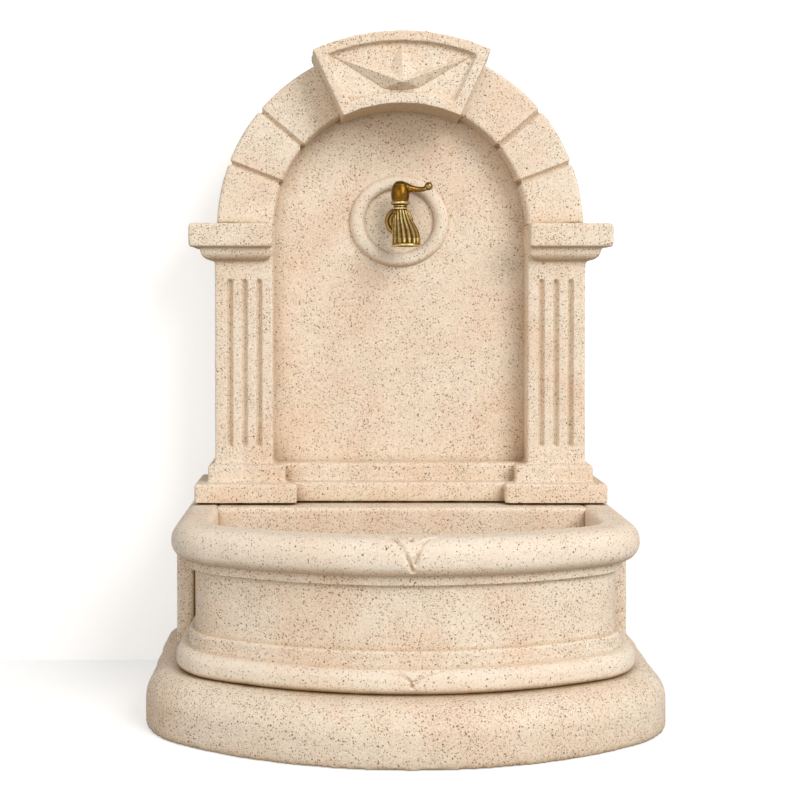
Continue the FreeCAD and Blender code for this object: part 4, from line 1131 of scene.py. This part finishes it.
def cast_limestone(tree, rubbed):
    """Cast limestone, tamped in a mould and rubbed down: matt, warm cream in soft patches of pink and
    grey, full of brown grains that lie in small pits, ochre in the recesses and on faces that look
    down, partly ochre staining and partly painted shade, and pale on the edges, partly wear and partly
    a painted highlight. Bands from one height to another, in millimetres, can be rubbed smoother,
    with fewer grains."""
    tone = {row: (*getattr(colours(), row), 1) for row in FountainColours.__annotations__}
    here = (add(tree, "TexCoord", {}), "Object")

    # Patches of 90 mm and 35 mm in the cream
    wide = add(tree, "TexNoise", {"Vector": here, "Scale": per(90), "Detail": 3.0})
    warm = add(tree, "MapRange", {0: wide, 1: 0.4, 2: 0.65})
    cream = add(tree, "Mix", {0: warm, 6: tone["stone"], 7: tone["stone_warm"]}, data_type="RGBA")
    cloud = add(tree, "TexNoise", {"Vector": here, "Scale": per(35), "Detail": 4.0, "Distortion": 0.6})
    grey = add(tree, "MapRange", {0: cloud, 1: 0.5, 2: 0.72, 4: 0.7})
    cream = add(tree, "Mix", {0: grey, 6: (cream, 2), 7: tone["stone_green"]}, data_type="RGBA")

    # Sand in a pattern of 3.2 mm, coarser than real sand so that it shows, paler and darker than the cream
    sand = add(tree, "TexNoise", {"Vector": here, "Scale": per(3.2), "Detail": 3.0, "Roughness": 0.7})
    light = add(tree, "MapRange", {0: sand, 1: 0.32, 2: 0.68, 3: 0.86, 4: 1.1})
    cream = add(tree, "Mix", {0: 1.0, 6: (cream, 2), 7: light}, data_type="RGBA", blend_type="MULTIPLY")

    # Pale edges, partly rubbed wear and partly a painted highlight on convex edges from pointiness, and
    # rubbed pale bands, where little of the grain is left
    shape = add(tree, "NewGeometry", {})
    ridge_wear_and_highlight = add(tree, "MapRange", {0: (shape, "Pointiness"), 1: 0.515, 2: 0.56, 4: 0.6})
    cream = add(tree, "Mix", {0: ridge_wear_and_highlight, 6: (cream, 2), 7: tone["stone_edge"]}, data_type="RGBA")
    kept = add(tree, "MapRange", {0: ridge_wear_and_highlight, 3: 1.0, 4: 0.4})
    up = (add(tree, "SeparateXYZ", {0: here}), 2)
    for low, high in rubbed:
        middle, half = (low + high) / 2 * MM, (high - low) / 2 * MM
        band = add(tree, "Math", {0: up, 1: middle, 2: half}, operation="COMPARE")
        worn = add(tree, "MapRange", {0: band, 3: 1.0, 4: 0.55})
        kept = add(tree, "Math", {0: kept, 1: worn}, operation="MULTIPLY")
        paler = add(tree, "Math", {0: band, 1: 0.35}, operation="MULTIPLY")
        cream = add(tree, "Mix", {0: paler, 6: (cream, 2), 7: tone["stone_edge"]}, data_type="RGBA")

    # Ochre staining and painted shade in the recesses, in creases and on undersides
    cream = stained_and_shaded(tree, cream, shape, tone)
    cream, pits = grained(tree, here, cream, kept, tone)

    # Pits where the grains lie, and the dry, sandy skin
    pitted = add(tree, "Bump", {"Height": pits, "Distance": 0.5 * MM, "Strength": 0.6}, invert=True)
    skin = add(tree, "TexNoise", {"Vector": here, "Scale": per(3), "Detail": 4.0, "Roughness": 0.7})
    relief = add(tree, "Bump", {"Height": skin, "Distance": 1.2 * MM, "Strength": 0.6, "Normal": pitted})
    rough = add(tree, "MapRange", {0: cloud, 3: 0.82, 4: 0.96})
    look = {"Base Color": (cream, 2), "Roughness": rough, "Specular IOR Level": 0.25, "Normal": relief}
    add(tree, "OutputMaterial", {"Surface": add(tree, "BsdfPrincipled", look)})


def aged_brass(tree):
    """Cast brass, polished once and aged outdoors: a golden brown film, brighter on the ribs, partly
    rubbed wear and partly a painted highlight, and a painted highlight on faces that look up, both
    weaker near the wall; dark brown in the folds and under the handle, partly tarnishing and partly
    painted shade."""
    here = (add(tree, "TexCoord", {}), "Object")
    bright = (*colours().brass, 1)
    film = (*colours().brass_film, 1)
    brown = (*colours().brass_tarnish_and_shade, 1)
    cloud = add(tree, "TexNoise", {"Vector": here, "Scale": per(7), "Detail": 4.0})
    shape = add(tree, "NewGeometry", {})
    # Painted highlight, partly rubbed wear too: paler brass on convex ribs and edges, from pointiness
    ridge_wear_and_highlight = add(tree, "MapRange", {0: (shape, "Pointiness"), 1: 0.507, 2: 0.519})
    facing = add(tree, "SeparateXYZ", {0: (shape, "Normal")})
    # Painted highlight on faces that look up
    top = add(tree, "MapRange", {0: (facing, 2), 1: 0.5, 2: 0.95, 4: 0.3})
    depth = add(tree, "SeparateXYZ", {0: here})
    reached = add(tree, "MapRange", {0: (depth, 1), 1: 0.185, 2: 0.165, 3: 0.15})
    rubbed_and_highlit = add(tree, "Math", {0: ridge_wear_and_highlight, 1: top}, operation="MAXIMUM")
    rubbed_and_highlit = add(tree, "Math", {0: rubbed_and_highlit, 1: reached}, operation="MULTIPLY")
    gold = add(tree, "Mix", {0: rubbed_and_highlit, 6: film, 7: bright}, data_type="RGBA")
    # Painted shade: dark brown where the ambient occlusion within 12 mm is low, in folds and under the
    # collar and handle
    occlusion = add(tree, "AmbientOcclusion", {"Distance": 0.012}, samples=8)
    painted_shade = add(tree, "MapRange", {0: (occlusion, "AO"), 1: 0.74, 2: 0.46, 4: 0.97})
    patch = add(tree, "MapRange", {0: cloud, 1: 0.42, 2: 0.7, 4: 0.5})
    # Painted shade together with random patches of tarnishing
    tarnish_and_shade = add(tree, "Math", {0: painted_shade, 1: patch}, operation="MAXIMUM")
    colour = add(tree, "Mix", {0: tarnish_and_shade, 6: (gold, 2), 7: brown}, data_type="RGBA")
    rough = add(tree, "MapRange", {0: tarnish_and_shade, 3: 0.27, 4: 0.5})
    skin = add(tree, "TexNoise", {"Vector": here, "Scale": per(1.2), "Detail": 2.0})
    relief = add(tree, "Bump", {"Height": skin, "Distance": 0.12 * MM, "Strength": 0.4})
    look = {"Base Color": (colour, 2), "Metallic": 1.0, "Roughness": rough, "Normal": relief}
    add(tree, "OutputMaterial", {"Surface": add(tree, "BsdfPrincipled", look)})


# Light and dark colour, metallic, roughness from and to, then the marks' size, depth and stretch
PLAIN_FINISHES = {
    # Turned plumbing brass: yellow, a little dull, with fine marks round it from the lathe
    "machined_brass": ("D8B868", "BD9A4C", 1.0, 0.25, 0.4, 2, 0.03, (1, 1, 6)),
    # Drawn copper tube: reddish, darkened in streaks along its length
    "copper_tube": ("C97E5A", "8A5238", 1.0, 0.28, 0.5, 9, 0.03, (1, 1, 0.2)),
    # Zinc-plated steel: cold grey, slightly spangled
    "zinc_steel": ("B9BCC0", "94989E", 1.0, 0.3, 0.45, 3, 0.03),
    # Moulded nitrile rubber: near black and matt
    "black_rubber": ("2B2A29", "201F1F", 0.0, 0.6, 0.75, 1.5, 0.05),
    # Vulcanised fibre: brick red, matt, with a papery grain
    "red_fibre": ("8E3B2C", "7A2F23", 0.0, 0.65, 0.8, 1.2, 0.05),
    # Sintered alumina: white and smooth, with a faint cloud
    "alumina": ("F0EEE8", "E6E2DA", 0.0, 0.2, 0.3, 5, 0.01),
    # Moulded polyamide: mid grey with a fine matt skin
    "grey_polyamide": ("8B8F92", "7F8386", 0.0, 0.45, 0.6, 1.5, 0.03),
}


def plain_finish(tree, light, dark, metallic, rough_low, rough_high, mark, deep, stretch=(1, 1, 1)):
    """A finish of two close colours in a pattern of one size, with roughness and relief from it."""
    light, dark = (*linear(light), 1), (*linear(dark), 1)
    place = add(tree, "TexCoord", {})
    here = add(tree, "Mapping", {"Vector": (place, "Object"), "Scale": stretch})
    marks = add(tree, "TexNoise", {"Vector": here, "Scale": per(mark), "Detail": 3.0})
    share = add(tree, "MapRange", {0: marks, 1: 0.35, 2: 0.65})
    colour = add(tree, "Mix", {0: share, 6: light, 7: dark}, data_type="RGBA")
    rough = add(tree, "MapRange", {0: marks, 1: 0.35, 2: 0.65, 3: rough_low, 4: rough_high})
    relief = add(tree, "Bump", {"Height": marks, "Distance": deep * MM, "Strength": 0.5})
    look = {"Base Color": (colour, 2), "Metallic": metallic, "Roughness": rough, "Normal": relief}
    add(tree, "OutputMaterial", {"Surface": add(tree, "BsdfPrincipled", look)})


def white_paper(tree):
    """Matt white paper of the studio: it takes the object's shadow, is white where it is lit, and
    can't be seen from its back."""
    paper = add(tree, "BsdfDiffuse", {"Color": (0.8, 0.8, 0.8, 1)})
    glow = add(tree, "Emission", {"Color": (1, 1, 1, 1), "Strength": 0.5})
    lit = add(tree, "AddShader", {0: paper, 1: glow})
    dull = add(tree, "BsdfDiffuse", {"Color": (0.45, 0.45, 0.45, 1)})
    front = add(tree, "MixShader", {0: seen_directly(tree), 1: dull, 2: lit})
    clear = add(tree, "BsdfTransparent", {})
    side = add(tree, "NewGeometry", {})
    both = add(tree, "MixShader", {0: (side, "Backfacing"), 1: front, 2: clear})
    add(tree, "OutputMaterial", {"Surface": both})


PIECES = (
    FOUNTAIN_OT_base_slab,
    FOUNTAIN_OT_basin,
    FOUNTAIN_OT_field,
    FOUNTAIN_OT_arch,
    FOUNTAIN_OT_pilasters,
    FOUNTAIN_OT_sills,
    FOUNTAIN_OT_keystone,
    FOUNTAIN_OT_tap_ring,
    FOUNTAIN_OT_tap,
    FOUNTAIN_OT_flange,
    FOUNTAIN_OT_lever,
    FOUNTAIN_OT_fittings,
    FOUNTAIN_OT_stage,
)


class FOUNTAIN_PT_pieces(bpy.types.Panel):
    """The fountain's pieces, sizes and colours"""

    bl_idname = "FOUNTAIN_PT_pieces"
    bl_label = "Garden wall fountain"
    bl_space_type = "VIEW_3D"
    bl_region_type = "UI"
    bl_category = "Fountain"

    def draw(self, context):
        for piece in PIECES:
            self.layout.operator(piece.bl_idname)
        for settings in (context.scene.fountain_sizes, context.scene.fountain_colours):
            box = self.layout.box()
            for row in settings.__annotations__:
                box.prop(settings, row)


CLASSES = (FountainSizes, FountainColours, FOUNTAIN_PT_pieces) + PIECES


def register():
    for item in CLASSES:
        bpy.utils.register_class(item)
    bpy.types.Scene.fountain_sizes = bpy.props.PointerProperty(type=FountainSizes)
    bpy.types.Scene.fountain_colours = bpy.props.PointerProperty(type=FountainColours)


def unregister():
    del bpy.types.Scene.fountain_colours
    del bpy.types.Scene.fountain_sizes
    for item in reversed(CLASSES):
        bpy.utils.unregister_class(item)


def main():
    register()
    for name in ("Cube", "Light", "Camera"):
        if name in bpy.data.objects:
            bpy.data.objects.remove(bpy.data.objects[name])
    for piece in PIECES:
        group, call = piece.bl_idname.split(".")
        getattr(getattr(bpy.ops, group), call)()


if __name__ == "__main__":
    main()
